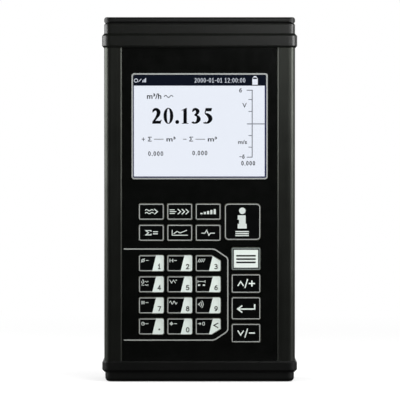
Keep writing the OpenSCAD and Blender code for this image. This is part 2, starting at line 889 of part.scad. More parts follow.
// Outline of a key, grown by a margin on every side; corner says which right-hand corner is cut, if any
module key_outline(w, h, r, corner, grow) {
    slant = norm([corner_cut_w, corner_cut_h]);
    cut_w = corner_cut_w + grow * (1 + (corner_cut_w - slant) / corner_cut_h);
    cut_h = corner_cut_h + grow * (1 + (corner_cut_h - slant) / corner_cut_w);
    grown_w = w + 2 * grow;
    grown_h = h + 2 * grow;
    difference() {
        rounded_rect(grown_w, grown_h, max(r + grow, key_gap));
        if (corner != 0)
            polygon([
                [grown_w / 2 - cut_w, corner * grown_h / 2],
                [grown_w / 2, corner * (grown_h / 2 - cut_h)],
                [grown_w / 2 + cut, corner * (grown_h / 2 - cut_h)],
                [grown_w / 2 + cut, corner * (grown_h / 2 + cut)],
                [grown_w / 2 - cut_w, corner * (grown_h / 2 + cut)]
            ]);
    }
}

// One embossed key: a thin pad with a raised rim, floating in front of its snap dome
module key_pad(k) {
    color([0.08, 0.08, 0.08])
        translate([k[1], key_back_y, k[2]]) {
            facing(key_t)
                key_outline(k[3], k[4], k[5], k[6], 0);
            facing(key_t + key_rim_t)
                difference() {
                    key_outline(k[3], k[4], k[5], k[6], 0);
                    key_outline(k[3], k[4], k[5], k[6], -key_rim_w);
                }
        }
}

// Outline of the film and the key circuit
module panel_outline() {
    translate([-film_w / 2, panel_low_z - film_tuck])
        square([film_w, case_h + 2 * film_tuck]);
}

module keypad_film() {
    color([0.04, 0.04, 0.04])
        translate([0, base_face_y, 0])
            facing(film_t)
                difference() {
                    panel_outline();
                    translate([0, window_z])
                        rounded_rect(window_w + 2 * fit, window_h + 2 * fit, window_r + fit);
                    for (k = KEYS)
                        translate([k[1], k[2]])
                            key_outline(k[3], k[4], k[5], k[6], key_gap);
                }
}

// Key circuit behind the film, with the ribbon that goes through the case to the board
module key_circuit() {
    color([0.75, 0.72, 0.55])
        translate([0, channel_y, 0])
            facing(base_t)
                difference() {
                    panel_outline();
                    translate([0, window_z])
                        rounded_rect(window_w + 2 * (lens_lip + clear), window_h + 2 * (lens_lip + clear), window_r);
                }
    color([0.75, 0.55, 0.25])
        translate([-tail_w / 2, channel_y - fit, tail_z - tail_t / 2])
            cube([tail_w, board_front_y - plug_t - channel_y + fit, tail_t]);
}

module snap_domes() {
    color([0.80, 0.80, 0.80])
        for (k = KEYS)
            translate([k[1], base_face_y, k[2]])
                rotate([90, 0, 0])
                    cylinder(r1 = dome_base_share * key_h, r2 = dome_top_share * key_h, h = dome_h);
}

// Clear window: a raised pane in the film's opening and a flange under the film
module display_window() {
    color([0.80, 0.85, 0.90, 0.5])
        translate([0, channel_y, window_z]) {
            facing(base_t)
                rounded_rect(window_w + 2 * lens_lip, window_h + 2 * lens_lip, window_r);
            facing(base_t + film_t)
                rounded_rect(window_w, window_h, window_r);
        }
}

// Foam frame that closes the gap between the front wall and the display
module display_gasket() {
    color([0.10, 0.10, 0.10])
        translate([0, lcd_front_y, window_z])
            facing(foam_t)
                difference() {
                    square([lcd_w, lcd_h], center = true);
                    square([window_w + 2 * lens_lip, window_h + 2 * lens_lip], center = true);
                }
}

module lcd_frame() {
    color([0.65, 0.66, 0.67])
        translate([0, lcd_back_y, window_z])
            difference() {
                facing(lcd_t)
                    square([lcd_w, lcd_h], center = true);
                translate([0, lcd_light_t + lcd_glass_t - lcd_t, 0])
                    facing(lcd_light_t + lcd_glass_t + cut)
                        square([lcd_glass_w + 2 * clear, lcd_glass_h + 2 * clear], center = true);
            }
}

module lcd_light() {
    color([0.92, 0.92, 0.90])
        translate([0, lcd_front_y + lcd_glass_t + lcd_light_t, window_z])
            facing(lcd_light_t)
                square([lcd_glass_w, lcd_glass_h], center = true);
}

module lcd_glass() {
    color([0.88, 0.90, 0.94])
        translate([0, lcd_front_y + lcd_glass_t, window_z])
            facing(lcd_glass_t)
                square([lcd_glass_w, lcd_glass_h], center = true);
}

// Four pillars between the display and the board
module display_standoffs() {
    color([0.70, 0.62, 0.35])
        for (sx = [-1, 1], sz = [-1, 1])
            translate([sx * (lcd_w / 2 - 2 * standoff_r), board_front_y, window_z + sz * (lcd_h / 2 - 2 * standoff_r)])
                rotate([90, 0, 0])
                    cylinder(r = standoff_r, h = standoff_h);
}

module main_board() {
    color([0.10, 0.35, 0.18])
        translate([-board_w / 2, board_front_y, board_low_z])
            cube([board_w, board_t, board_high_z - board_low_z]);
}

// Packages and plugs on the board's back, and the ribbon's plug on its front
module board_chips() {
    color([0.12, 0.12, 0.12])
        for (i = [0:len(chip_shares) - 1])
            on_board(chip_shares[i])
                translate([-chip_sizes[i][0] / 2, 0, -chip_sizes[i][1] / 2])
                    cube([chip_sizes[i][0], chip_t, chip_sizes[i][1]]);
    color([0.90, 0.88, 0.80]) {
        for (x = lead_x)
            board_plug(x, plug_z);
        for (s = [-1, 1])
            board_plug(s * cell_x, cell_plug_z);
        translate([-tail_slot_w / 2, board_front_y - plug_t, tail_z - plug_t])
            cube([tail_slot_w, plug_t, 2 * plug_t]);
    }
}

// Moves its children to a place on the board's back, given as shares of the board
module on_board(share) {
    translate([share[0] * board_w, board_back_y, board_low_z + share[1] * board_h])
        children();
}

module board_plug(x, z) {
    translate([x - plug_size[0] / 2, board_back_y, z - plug_size[2] / 2])
        cube(plug_size);
}

// Tinned shield over the measuring circuit
module shield_can() {
    color([0.72, 0.72, 0.70])
        on_board([0, can_share])
            translate([-can_size[0] / 2, 0, -can_size[2] / 2])
                difference() {
                    cube(can_size);
                    translate([can_wall, -cut, can_wall])
                        cube([can_size[0] - 2 * can_wall, can_size[1] - can_wall + cut,
                            can_size[2] - 2 * can_wall]);
                }
}

module buzzer() {
    color([0.06, 0.06, 0.06])
        on_board([buzzer_x_share, buzzer_z_share])
            rotate([-90, 0, 0])
                difference() {
                    cylinder(r = buzzer_r, h = buzzer_h);
                    translate([0, 0, buzzer_h / 2])
                        cylinder(r = buzzer_hole_r, h = buzzer_h);
                }
}

// One lead: straight up or down out of its start, round a bend and square into its plug on the board's back
module lead(x, y, start_z, end_z) {
    plug_face_y = board_back_y + plug_t;
    up = end_z > start_z ? 1 : -1;
    translate([x, y, end_z])
        scale([1, 1, up]) {
            translate([0, 0, -abs(end_z - start_z)])
                cylinder(r = lead_r, h = abs(end_z - start_z) - lead_bend_r);
            translate([0, -lead_bend_r, -lead_bend_r])
                rotate([90, 0, 90])
                    rotate_extrude(angle = 90)
                        translate([lead_bend_r, 0])
                            circle(lead_r);
            translate([0, -lead_bend_r, 0])
                rotate([90, 0, 0])
                    cylinder(r = lead_r, h = y - lead_bend_r - plug_face_y);
        }
}

module inner_leads() {
    color([0.55, 0.12, 0.10]) {
        for (i = [0:len(lead_x) - 1])
            lead(lead_x[i], socket_y, lead_top_z[i], plug_z);
        for (s = [-1, 1])
            lead(s * cell_x, tray_end_y - clear - lead_r, cell_low_z + cell_l + contact_strip_t, cell_plug_z);
    }
}

module battery_cells() {
    color([0.15, 0.30, 0.55])
        for (s = [-1, 1])
            translate([s * cell_x, cell_y, cell_low_z]) {
                cylinder(r = cell_r, h = cell_l - cell_nub_h);
                cylinder(r = cell_nub_r, h = cell_l);
            }
}

// Nickel strips: one across both cells at the bottom, and one at the top of each
module battery_contacts() {
    color([0.78, 0.77, 0.74]) {
        translate([-cell_x - cell_nub_r, cell_y - contact_strip_w / 2, cell_low_z - contact_strip_t])
            cube([2 * (cell_x + cell_nub_r), contact_strip_w, contact_strip_t]);
        for (s = [-1, 1])
            translate([s * cell_x - cell_nub_r, cell_y - contact_strip_w / 2, cell_low_z + cell_l])
                cube([2 * cell_nub_r, contact_strip_w, contact_strip_t]);
    }
}

// Moulded tray stuck to the back wall, with a wall at each end and a cradle rib in the middle
module battery_tray() {
    ribs = [[0, tray_end_h], [(tray_l - tray_rib_t) / 2, tray_rib_h], [tray_l - tray_rib_t, tray_end_h]];
    color([0.20, 0.20, 0.21])
        difference() {
            union() {
                translate([-tray_w / 2, back_inner_y - tray_t, tray_low_z])
                    cube([tray_w, tray_t, tray_l]);
                for (rib = ribs)
                    translate([-tray_w / 2, back_inner_y - tray_t - rib[1], tray_low_z + rib[0]])
                        cube([tray_w, rib[1] + tray_t / 2, tray_rib_t]);
            }
            for (s = [-1, 1])
                translate([s * cell_x, cell_y, tray_low_z + tray_rib_t])
                    cylinder(r = cell_r + cell_play, h = tray_l - 2 * tray_rib_t);
        }
}

case_extrusion();
top_end_frame();
bottom_end_cap();
top_gasket();
bottom_gasket();
top_screws();
bottom_screws();
socket_plate();
upstream_socket();
downstream_socket();
socket_inserts();
socket_contacts();
socket_nuts();
charge_socket();
data_socket();
power_switch();
power_button();
socket_cover();
cover_seal();
hinge_pin();
keypad_film();
key_circuit();
snap_domes();
display_window();
display_gasket();
lcd_frame();
lcd_light();
lcd_glass();
display_standoffs();
main_board();
board_chips();
shield_can();
buzzer();
inner_leads();
battery_cells();
battery_contacts();
battery_tray();
for (k = KEYS)
    key_pad(k);
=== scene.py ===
# %% [markdown]
# A handheld ultrasonic flow meter. An extruded aluminium case slides between two moulded
# end pieces, and a printed film with embossed keys and a colour display fills its front.
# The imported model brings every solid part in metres, already in place. This lesson gives
# those parts their finishes, prints the keys, lights the display and sets up a small studio.

# %% Load the frame
import math
from collections import namedtuple

import bmesh
import bpy
from mathutils import Matrix, Vector


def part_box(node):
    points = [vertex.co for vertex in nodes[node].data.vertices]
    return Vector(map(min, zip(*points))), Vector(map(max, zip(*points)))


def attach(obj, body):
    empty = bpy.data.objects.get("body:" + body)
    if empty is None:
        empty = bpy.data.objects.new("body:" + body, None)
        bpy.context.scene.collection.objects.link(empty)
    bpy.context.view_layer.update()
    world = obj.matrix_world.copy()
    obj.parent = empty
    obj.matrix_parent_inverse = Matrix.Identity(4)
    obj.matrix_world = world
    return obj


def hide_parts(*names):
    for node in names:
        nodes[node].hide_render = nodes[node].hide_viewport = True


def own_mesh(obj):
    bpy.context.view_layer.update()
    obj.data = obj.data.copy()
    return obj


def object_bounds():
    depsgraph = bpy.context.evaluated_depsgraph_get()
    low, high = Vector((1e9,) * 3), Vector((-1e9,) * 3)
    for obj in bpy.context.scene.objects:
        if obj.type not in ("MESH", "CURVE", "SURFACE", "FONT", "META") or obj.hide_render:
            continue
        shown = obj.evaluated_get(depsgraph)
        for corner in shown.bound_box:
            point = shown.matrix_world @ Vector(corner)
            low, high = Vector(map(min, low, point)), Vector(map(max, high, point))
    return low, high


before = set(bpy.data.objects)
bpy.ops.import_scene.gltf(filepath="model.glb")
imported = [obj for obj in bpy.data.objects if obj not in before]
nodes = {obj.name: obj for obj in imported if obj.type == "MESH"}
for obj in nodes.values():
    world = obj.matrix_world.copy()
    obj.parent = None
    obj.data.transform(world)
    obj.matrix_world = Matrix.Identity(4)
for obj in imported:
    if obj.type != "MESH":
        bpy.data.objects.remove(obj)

cad_low, cad_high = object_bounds()

# %% [markdown]
# Three helpers serve the whole file. Sizes of printed marks are easiest to read in
# millimetres, so one factor turns them to metres. A colour is written as it would be picked
# on a screen, and one function makes it linear for the shaders. One function adds a node.

# %% Millimetres, colours and nodes
MM = 0.001


def linear(colour, alpha=1.0):
    """Turn an sRGB hex colour such as '#20221F' into the linear values that a shader takes."""
    channels = []
    for place in (1, 3, 5):
        value = int(colour[place:place + 2], 16) / 255
        if value <= 0.04045:
            channels.append(value / 12.92)
        else:
            channels.append(((value + 0.055) / 1.055) ** 2.4)
    return (*channels, alpha)


def add_node(tree, kind, inputs=None, **settings):
    """Add one node; each input takes a value, or the output of another node as a link."""
    node = tree.nodes.new("ShaderNode" + kind)
    for name, value in settings.items():
        setattr(node, name, value)
    for name, value in (inputs or {}).items():
        if isinstance(value, bpy.types.NodeSocket):
            tree.links.new(value, node.inputs[name])
        else:
            node.inputs[name].default_value = value
    return node


print("mid grey is", round(linear("#808080")[0], 3), "in linear light")

# %% [markdown]
# Every finish is one Principled shader. What makes it read as a real surface is small
# variation: a colour that drifts a little, a roughness that is not even, and a fine relief.
# All three can come from noise. The noise reads object coordinates, which are metres on the
# real part here, so a grain size in millimetres sets the scale directly.

# %% A material
def shader_of(material):
    return material.node_tree.nodes["Principled BSDF"]


def new_material(name, colour, roughness, **sockets):
    """Start a material; sockets are further Principled inputs, with _ for a space."""
    material = bpy.data.materials.new(name)
    material.use_nodes = True
    inputs = shader_of(material).inputs
    inputs["Base Color"].default_value = linear(colour)
    inputs["Roughness"].default_value = roughness
    for socket, value in sockets.items():
        inputs[socket.replace("_", " ")].default_value = value
    return material


finishes = {}
print("nodes to finish:", len(nodes))

# %% [markdown]
# Noise drives the three kinds of variation. One function makes it, and one for each kind
# puts it to use. Relief is laid on relief, so a surface can have lines and a grain.

# %% Colour, roughness and relief
# Noise seldom leaves this range, so a change is spread over it.
NOISE_LOW = 0.3
NOISE_HIGH = 0.7


def pattern(material, grain_mm, stretch=(1, 1, 1), detail=2.0):
    """Noise whose spots measure grain_mm; stretch makes them longer along an axis."""
    tree = material.node_tree
    place = add_node(tree, "TexCoord")
    longer = add_node(tree, "Mapping", {
        "Vector": place.outputs["Object"],
        "Scale": tuple(1 / s for s in stretch),
    })
    noise = add_node(tree, "TexNoise", {
        "Vector": longer.outputs["Vector"],
        "Scale": 1 / (grain_mm * MM),
        "Detail": detail,
    })
    return noise.outputs["Fac"]


def vary_colour(material, spots, darker, lighter):
    """Let the colour drift from darker to lighter with the spots."""
    tree = material.node_tree
    ramp = add_node(tree, "ValToRGB", {"Fac": spots})
    ends = zip(ramp.color_ramp.elements, (NOISE_LOW, NOISE_HIGH), (darker, lighter))
    for end, position, colour in ends:
        end.position = position
        end.color = linear(colour)
    tree.links.new(ramp.outputs["Color"], shader_of(material).inputs["Base Color"])


def vary_roughness(material, spots, smoothest, roughest):
    tree = material.node_tree
    spread = add_node(tree, "MapRange", {
        "Value": spots,
        "From Min": NOISE_LOW,
        "From Max": NOISE_HIGH,
        "To Min": smoothest,
        "To Max": roughest,
    })
    tree.links.new(spread.outputs["Result"], shader_of(material).inputs["Roughness"])


def add_relief(material, spots, depth_mm):
    """Raise the spots by depth_mm, on top of any relief that the material has already."""
    tree = material.node_tree
    normal = shader_of(material).inputs["Normal"]
    relief = add_node(tree, "Bump", {"Height": spots, "Distance": depth_mm * MM})
    if normal.is_linked:
        tree.links.new(normal.links[0].from_socket, relief.inputs["Normal"])
    tree.links.new(relief.outputs["Normal"], normal)


print("noise is used from", NOISE_LOW, "to", NOISE_HIGH)

# %% [markdown]
# The case is extruded aluminium, bead blasted and anodised a warm dark grey. Extrusion
# leaves faint die lines along the length, blasting leaves an even grain, and the dyed oxide
# keeps the soft gleam of metal at the rounded corners. A metallic shader with a dark base
# gives that gleam. The real grain is near 0.1 mm, far below one pixel here, so it is drawn
# at 0.5 mm and very shallow.

# %% Anodised aluminium
DIE_LINE_MM = 0.7
BLAST_GRAIN_MM = 0.5

aluminium = new_material("anodised_aluminium", "#444642", 0.39, Metallic=1.0)
dye_cloud = pattern(aluminium, 18)
die_lines = pattern(aluminium, DIE_LINE_MM, stretch=(1, 1, 120), detail=3.0)
vary_colour(aluminium, dye_cloud, "#40423E", "#474945")
vary_roughness(aluminium, die_lines, 0.36, 0.42)
add_relief(aluminium, die_lines, 0.004)
add_relief(aluminium, pattern(aluminium, BLAST_GRAIN_MM), 0.004)
finishes["case"] = aluminium

plate_metal = new_material("anodised_sheet", "#4A4C4A", 0.4, Metallic=1.0)
rolled_lines = pattern(plate_metal, 0.5, stretch=(80, 1, 1), detail=3.0)
vary_roughness(plate_metal, rolled_lines, 0.34, 0.46)
add_relief(plate_metal, rolled_lines, 0.003)
finishes["plate"] = plate_metal
print("anodised:", [material.name for material in finishes.values()])

# %% [markdown]
# The end pieces are moulded ABS with a spark-eroded satin grain. Such plastic scatters a
# broad, weak highlight, so it looks soft and a little greyer than the film beside it. IOR
# 1.54 is typical, and the grain gives it a roughness near 0.35.
# The grain is about 0.2 mm deep-etched texture, drawn at 0.6 mm so that it shows at all.

# %% Moulded ABS
MOULD_GRAIN_MM = 0.6


def moulded_abs(name, colour, darker, lighter, roughness):
    """Satin moulded plastic with an even spark-eroded grain."""
    material = new_material(name, colour, roughness, IOR=1.54)
    grain = pattern(material, MOULD_GRAIN_MM, detail=3.0)
    vary_colour(material, pattern(material, 25), darker, lighter)
    vary_roughness(material, grain, roughness - 0.05, roughness + 0.06)
    add_relief(material, grain, 0.012)
    return material


finishes["end_pieces"] = moulded_abs("moulded_abs_grey", "#0A0C09", "#080A07", "#0C0E0A", 0.35)
finishes["foot"] = moulded_abs("moulded_abs_black", "#050605", "#040504", "#070807", 0.33)
finishes["socket_insulator"] = moulded_abs("moulded_pbt_black", "#161616", "#131313", "#1A1A1A", 0.5)
finishes["tray"] = moulded_abs("moulded_tray", "#1B1B1D", "#18181A", "#1F1F21", 0.55)
finishes["chip"] = moulded_abs("moulded_epoxy", "#141414", "#111111", "#191919", 0.6)

red_abs = new_material("moulded_abs_red", "#A01D16", 0.28, IOR=1.54)
vary_colour(red_abs, pattern(red_abs, 3), "#9A1A14", "#A8221A")
add_relief(red_abs, pattern(red_abs, 0.8), 0.004)
finishes["power_button"] = red_abs
print("finishes so far:", len(finishes))

# %% [markdown]
# The keypad is polyester film, printed black from behind and hard coated in front. Film of
# this kind is nearly black but not matt: it keeps a smooth, tight reflection, and where the
# studio in front of it is dark it goes almost fully dark. Polyester has an IOR near 1.6. The
# keys are embossed in the same film, so they share its look.

# %% Polyester film
FILM_TEXTURE_MM = 0.5


def polyester_film(name, darker, lighter):
    """Hard-coated film, back-printed near black."""
    material = new_material(name, darker, 0.17, IOR=1.6)
    texture = pattern(material, FILM_TEXTURE_MM)
    vary_colour(material, pattern(material, 12), darker, lighter)
    vary_roughness(material, pattern(material, 6), 0.15, 0.2)
    add_relief(material, texture, 0.0015)
    return material


finishes["film"] = polyester_film("polyester_film", "#030403", "#050605")
finishes["keys"] = polyester_film("embossed_film", "#030404", "#050606")
print("film grain:", FILM_TEXTURE_MM, "mm")

# %% [markdown]
# The window is clear cast acrylic with polished faces. It lets the display through and adds
# a faint reflection, so the display looks set back behind something. IOR 1.49 is acrylic.
# A trace of unevenness in the polish keeps that reflection from looking like a mirror.

# %% Acrylic window
acrylic = new_material("clear_acrylic", "#FFFFFF", 0.0, IOR=1.49, Transmission_Weight=1.0)
vary_roughness(acrylic, pattern(acrylic, 15), 0.0, 0.015)
finishes["window"] = acrylic
print("window IOR:", round(shader_of(acrylic).inputs["IOR"].default_value, 2))

# %% [markdown]
# Plated and ground metals sit at the sockets, the screws and the hinge. Each is a full metal
# with the default IOR, so only its colour and roughness tell them apart: nickel is warm and
# smooth, zinc is bluer and duller, and a ground pin shows fine rings round its axis.

# %% Plated and ground metals
def plated_metal(name, darker, lighter, roughness, streak=(1, 1, 1)):
    """Bright metal whose colour and polish vary a little over about a millimetre."""
    material = new_material(name, lighter, roughness, Metallic=1.0)
    spots = pattern(material, 0.9, stretch=streak, detail=3.0)
    vary_colour(material, spots, darker, lighter)
    vary_roughness(material, spots, roughness * 0.8, roughness * 1.25)
    add_relief(material, spots, 0.003)
    return material


finishes["socket_metal"] = plated_metal("nickel_plate", "#B9B4A9", "#CDC8BD", 0.2)
finishes["screw"] = plated_metal("zinc_plate", "#A9ACB0", "#BCC0C4", 0.3)
finishes["pin"] = plated_metal("ground_steel", "#B4B4B6", "#C6C6C8", 0.22, streak=(0.2, 1, 1))
finishes["dome"] = plated_metal("spring_steel", "#B8B8B8", "#CACACA", 0.24)
finishes["display_metal"] = plated_metal("tinned_sheet", "#9C9EA0", "#B0B2B4", 0.36)
finishes["socket_contact"] = plated_metal("gold_plate", "#C9A24A", "#DDB75C", 0.22)
finishes["contact"] = plated_metal("nickel_strip", "#B9B6AC", "#C9C6BC", 0.3, streak=(8, 1, 1))
finishes["standoff"] = plated_metal("turned_brass", "#B08D4A", "#C6A25A", 0.28, streak=(6, 6, 1))
print("finishes so far:", len(finishes))

# %% [markdown]
# The parts inside show only when the model is taken apart, yet each has its own stuff: a
# green solder-resist board with copper under it, soft rubber seals, wire insulation, the
# clear key circuit with silver ink, and the sleeve shrunk round each cell. The cover has a
# soft-touch coating over its moulding: near IOR 1.42 and fairly rough, so it stays darker
# and flatter than the piece below it.

# %% Inner parts and seals
def plain_finish(name, darker, lighter, roughness, spot_mm, relief_mm, **sockets):
    """A non-metal whose colour drifts over spot_mm, with a low relief of the same size."""
    material = new_material(name, lighter, roughness, **sockets)
    spots = pattern(material, spot_mm, detail=3.0)
    vary_colour(material, spots, darker, lighter)
    add_relief(material, spots, relief_mm)
    return material


finishes["gasket"] = plain_finish("silicone_rubber", "#0B0B0B", "#121212", 0.75, 0.8, 0.01, IOR=1.42)
finishes["lead"] = plain_finish("pvc_insulation", "#7E1512", "#931A16", 0.42, 1.2, 0.004, IOR=1.53)
finishes["cell"] = plain_finish("shrink_sleeve", "#1C4C86", "#2258A0", 0.3, 4, 0.01, IOR=1.53)
finishes["circuit"] = plain_finish(
    "silver_printed_polyester", "#A79F80", "#C9C3A6", 0.35, 1.1, 0.003, IOR=1.6
)
finishes["display_light"] = plain_finish("opal_diffuser", "#E4E6E6", "#F2F4F4", 0.5, 2, 0.002, IOR=1.49)
finishes["display_glass"] = plain_finish("display_cell_glass", "#0B0E1A", "#0E1222", 0.12, 8, 0.0, IOR=1.52)

soft_coat = plain_finish("soft_touch_coating", "#040504", "#070807", 0.48, 25, 0.0, IOR=1.42)
add_relief(soft_coat, pattern(soft_coat, MOULD_GRAIN_MM, detail=3.0), 0.012)

board = new_material("solder_resist", "#0E4A26", 0.35, IOR=1.5)
copper = pattern(board, 1.4, stretch=(1, 1, 6), detail=0.0)
vary_colour(board, copper, "#0A3F20", "#17633A")
add_relief(board, copper, 0.03)
finishes["board"] = board

for node in nodes.values():
    for slot in node.material_slots:
        slot.material = finishes[slot.material.name]
for slot in nodes["socket_cover"].material_slots:
    slot.material = soft_coat
print("finishes given:", len(finishes))

# %% [markdown]
# Printed marks are thin plates of ink that stand a few hundredths of a millimetre proud of
# the film. They could be painted inside one material, but plates keep crisp edges at any
# distance, ride with their key, and are meshes of their own. Each mark is an outline in
# the front plane, as pairs of x and height in millimetres, and one function makes it solid.

# %% Solid marks from outlines
INK_MM = 0.03


def new_object(name, data):
    """Put an object with this data into the scene."""
    thing = bpy.data.objects.new(name, data)
    bpy.context.scene.collection.objects.link(thing)
    return thing


def add_loop(mesh, outline, y):
    """Corners of an outline in the plane y, in millimetres."""
    return [mesh.verts.new((x * MM, y * MM, z * MM)) for x, z in outline]


def add_wall(mesh, first, second):
    """Faces between two loops that have as many corners each."""
    for i in range(len(first)):
        j = (i + 1) % len(first)
        mesh.faces.new((first[i], second[i], second[j], first[j]))


def add_plate(mesh, outline, surface_y, proud):
    """Close one outline into a plate on the plane surface_y, standing proud towards the front."""
    front = add_loop(mesh, outline, surface_y - proud)
    back = add_loop(mesh, outline, surface_y)
    mesh.faces.new(front)
    mesh.faces.new(back[::-1])
    add_wall(mesh, front, back)


def add_band(mesh, outer, inner, surface_y, proud):
    """Close the band between two outlines that have as many points each."""
    front, back = surface_y - proud, surface_y
    around = [add_loop(mesh, outline, y) for outline in (outer, inner) for y in (front, back)]
    outer_front, outer_back, inner_front, inner_back = around
    round_about = (outer_front, inner_front, inner_back, outer_back, outer_front)
    for first, second in zip(round_about, round_about[1:]):
        add_wall(mesh, first, second)


print("ink stands", INK_MM, "mm proud")

# %% [markdown]
# A few units need letters and raised figures. A font curve gives them, and its mesh is
# fitted into a box, so each mark has the size that was measured for it.

# %% Characters
CURVE_STEPS = 3


def add_text(mesh, text, box, surface_y, proud, weight=0.0):
    """Set plain characters into box, given as left, low, width and height; weight thickens them."""
    curve = bpy.data.curves.new("characters", "FONT")
    curve.body = text
    curve.offset = weight
    curve.extrude = 0.5
    curve.resolution_u = CURVE_STEPS
    carrier = new_object("characters", curve)
    bpy.context.view_layer.update()
    shape = bpy.data.meshes.new_from_object(carrier.evaluated_get(bpy.context.evaluated_depsgraph_get()))
    bpy.data.objects.remove(carrier)
    bpy.data.curves.remove(curve)
    low = [min(v.co[i] for v in shape.vertices) for i in range(3)]
    size = [max(v.co[i] for v in shape.vertices) - low[i] for i in range(3)]
    left, bottom, width, height = box
    for vertex in shape.vertices:
        across, up, deep = [(vertex.co[i] - low[i]) / size[i] for i in range(3)]
        vertex.co = Vector((
            (left + across * width) * MM,
            (surface_y - deep * proud) * MM,
            (bottom + up * height) * MM,
        ))
    mesh.from_mesh(shape)
    bpy.data.meshes.remove(shape)


print("characters keep curves of", CURVE_STEPS, "steps")

# %% [markdown]
# A finished mark becomes an object of its own. It rides on the body that it is printed on
# and takes the finish that it is given.

# %% Pieces of ink
STEP_MM = 0.0015
WELD_M = 1e-7


def riding_piece(name, mesh, material, body):
    """Turn a finished bmesh into an object that rides on a body."""
    bmesh.ops.recalc_face_normals(mesh, faces=mesh.faces)
    data = bpy.data.meshes.new(name)
    mesh.to_mesh(data)
    mesh.free()
    data.materials.append(material)
    piece = new_object(name, data)
    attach(piece, body)
    return piece


def ink_piece(name, marks, ink, surface_y, body, proud=INK_MM):
    """Make one object from marks: outlines, (outer, inner) bands and (text, box, weight) settings."""
    mesh = bmesh.new()
    for i, mark in enumerate(marks):
        # Each mark stands a hair higher than the last, so where two cross no faces coincide.
        height = proud + i * STEP_MM
        if isinstance(mark[0], str):
            add_text(mesh, mark[0], mark[1], surface_y, height, mark[2])
        elif isinstance(mark, tuple):
            add_band(mesh, mark[0], mark[1], surface_y, height)
        else:
            add_plate(mesh, mark, surface_y, height)
    bmesh.ops.remove_doubles(mesh, verts=mesh.verts, dist=WELD_M)
    return riding_piece(name, mesh, ink, body)


print("each mark stands", STEP_MM, "mm higher than the last")

# %% [markdown]
# Few kinds of outline serve all the marks: a line of even width with round ends, an arc, a
# disc, and a rectangle with round or cut corners. A line is laid out by stepping half its
# width to each side at every point, which mitres its corners as a pen plotter would. Marks
# are drawn about a point of their own and then moved to their place.

# %% Outlines
ROUND_STEPS = 6
MITRE_LIMIT = 0.35


def arc(x, z, radius, start, end, steps=12):
    """Points along an arc; the angles are degrees, counter-clockwise from the right."""
    angles = [math.radians(start + (end - start) * i / steps) for i in range(steps + 1)]
    return [(x + radius * math.cos(a), z + radius * math.sin(a)) for a in angles]


def disc(x, z, radius, steps=24):
    return arc(x, z, radius, 0, 360, steps)[:-1]


def ellipse(x, z, half_w, half_h, steps=28):
    turns = [2 * math.pi * i / steps for i in range(steps)]
    return [(x + half_w * math.cos(turn), z + half_h * math.sin(turn)) for turn in turns]


def ring(x, z, half_w, width, half_h=None):
    """A closed line of even width round an ellipse, or round a circle where half_h is left out."""
    half_h = half_h or half_w
    edge = width / 2
    return (ellipse(x, z, half_w + edge, half_h + edge), ellipse(x, z, half_w - edge, half_h - edge))


def line(points, width):
    """The outline of an open line through points, mitred inside and round at both ends."""
    half = width / 2
    path = [Vector(p) for p in points]
    ways = [(b - a).normalized() for a, b in zip(path, path[1:])]
    left = []
    right = []
    for i, point in enumerate(path):
        before = ways[max(i - 1, 0)]
        after = ways[min(i, len(ways) - 1)]
        middle = (before + after).normalized()
        side = Vector((-middle.y, middle.x))
        reach = half / max(middle.dot(after), MITRE_LIMIT)
        left.append(point + side * reach)
        right.append(point - side * reach)
    first = math.degrees(math.atan2(ways[0].y, ways[0].x))
    last = math.degrees(math.atan2(ways[-1].y, ways[-1].x))
    end_cap = arc(*path[-1], half, last - 90, last + 90, ROUND_STEPS)
    start_cap = arc(*path[0], half, first + 90, first + 270, ROUND_STEPS)
    right_side = [tuple(p) for p in right[1:-1]]
    left_side = [tuple(p) for p in left[1:-1]]
    return start_cap + right_side + end_cap + left_side[::-1]


def dash(left, right, z, width):
    return line([(left, z), (right, z)], width)


def upright(x, low, high, width):
    return line([(x, low), (x, high)], width)


print("a disc has", len(disc(0, 0, 1)), "points")

# %% [markdown]
# Keys, fields and bars are rectangles. A moulded key has round corners, which also keep the
# film from tearing, and two of the keys here have one corner cut off straight.

# %% Rectangles
def bar(left, low, width, height):
    return [(left, low), (left + width, low), (left + width, low + height), (left, low + height)]


def rounded(x, z, width, height, radius, cut=None):
    """A rectangle about (x, z) with round corners; cut takes one right corner off straight.

    cut is (side, width, height), with side 1 for the upper corner and -1 for the lower."""
    half_w = width / 2 - radius
    half_h = height / 2 - radius
    corners = [(1, 1, 0), (-1, 1, 90), (-1, -1, 180), (1, -1, 270)]
    outline = []
    for across, up, turn in corners:
        if cut and across == 1 and up == cut[0]:
            slope_start = (x + width / 2, z + up * (height / 2 - cut[2]))
            slope_end = (x + width / 2 - cut[1], z + up * height / 2)
            outline += [slope_start, slope_end][::up]
        else:
            outline += arc(x + across * half_w, z + up * half_h, radius, turn, turn + 90, ROUND_STEPS)
    return outline


print("a key outline has", len(rounded(0, 0, 13.4, 8.7, 1)), "points")

# %% [markdown]
# The print on a number key changes colour along a slanted line, so one function keeps the
# part of an outline beside a line. Another moves marks to their place.

# %% Cut and moved outlines
def part_beside(outline, low_point, high_point, side):
    """Cut a bulging outline by the line through two points and keep the part on one side.

    The outline that comes back starts and ends on the cut."""
    (ax, az), (bx, bz) = low_point, high_point
    kept = []
    start = 0

    def offset(point):
        return side * ((bx - ax) * (point[1] - az) - (bz - az) * (point[0] - ax))

    for i, point in enumerate(outline):
        following = outline[(i + 1) % len(outline)]
        here, there = offset(point), offset(following)
        if here >= 0:
            kept.append(point)
        if (here >= 0) != (there >= 0):
            share = here / (here - there)
            crossing = (
                point[0] + share * (following[0] - point[0]),
                point[1] + share * (following[1] - point[1]),
            )
            kept.append(crossing)
            if there >= 0:
                start = len(kept) - 1
    return kept[start:] + kept[:start]


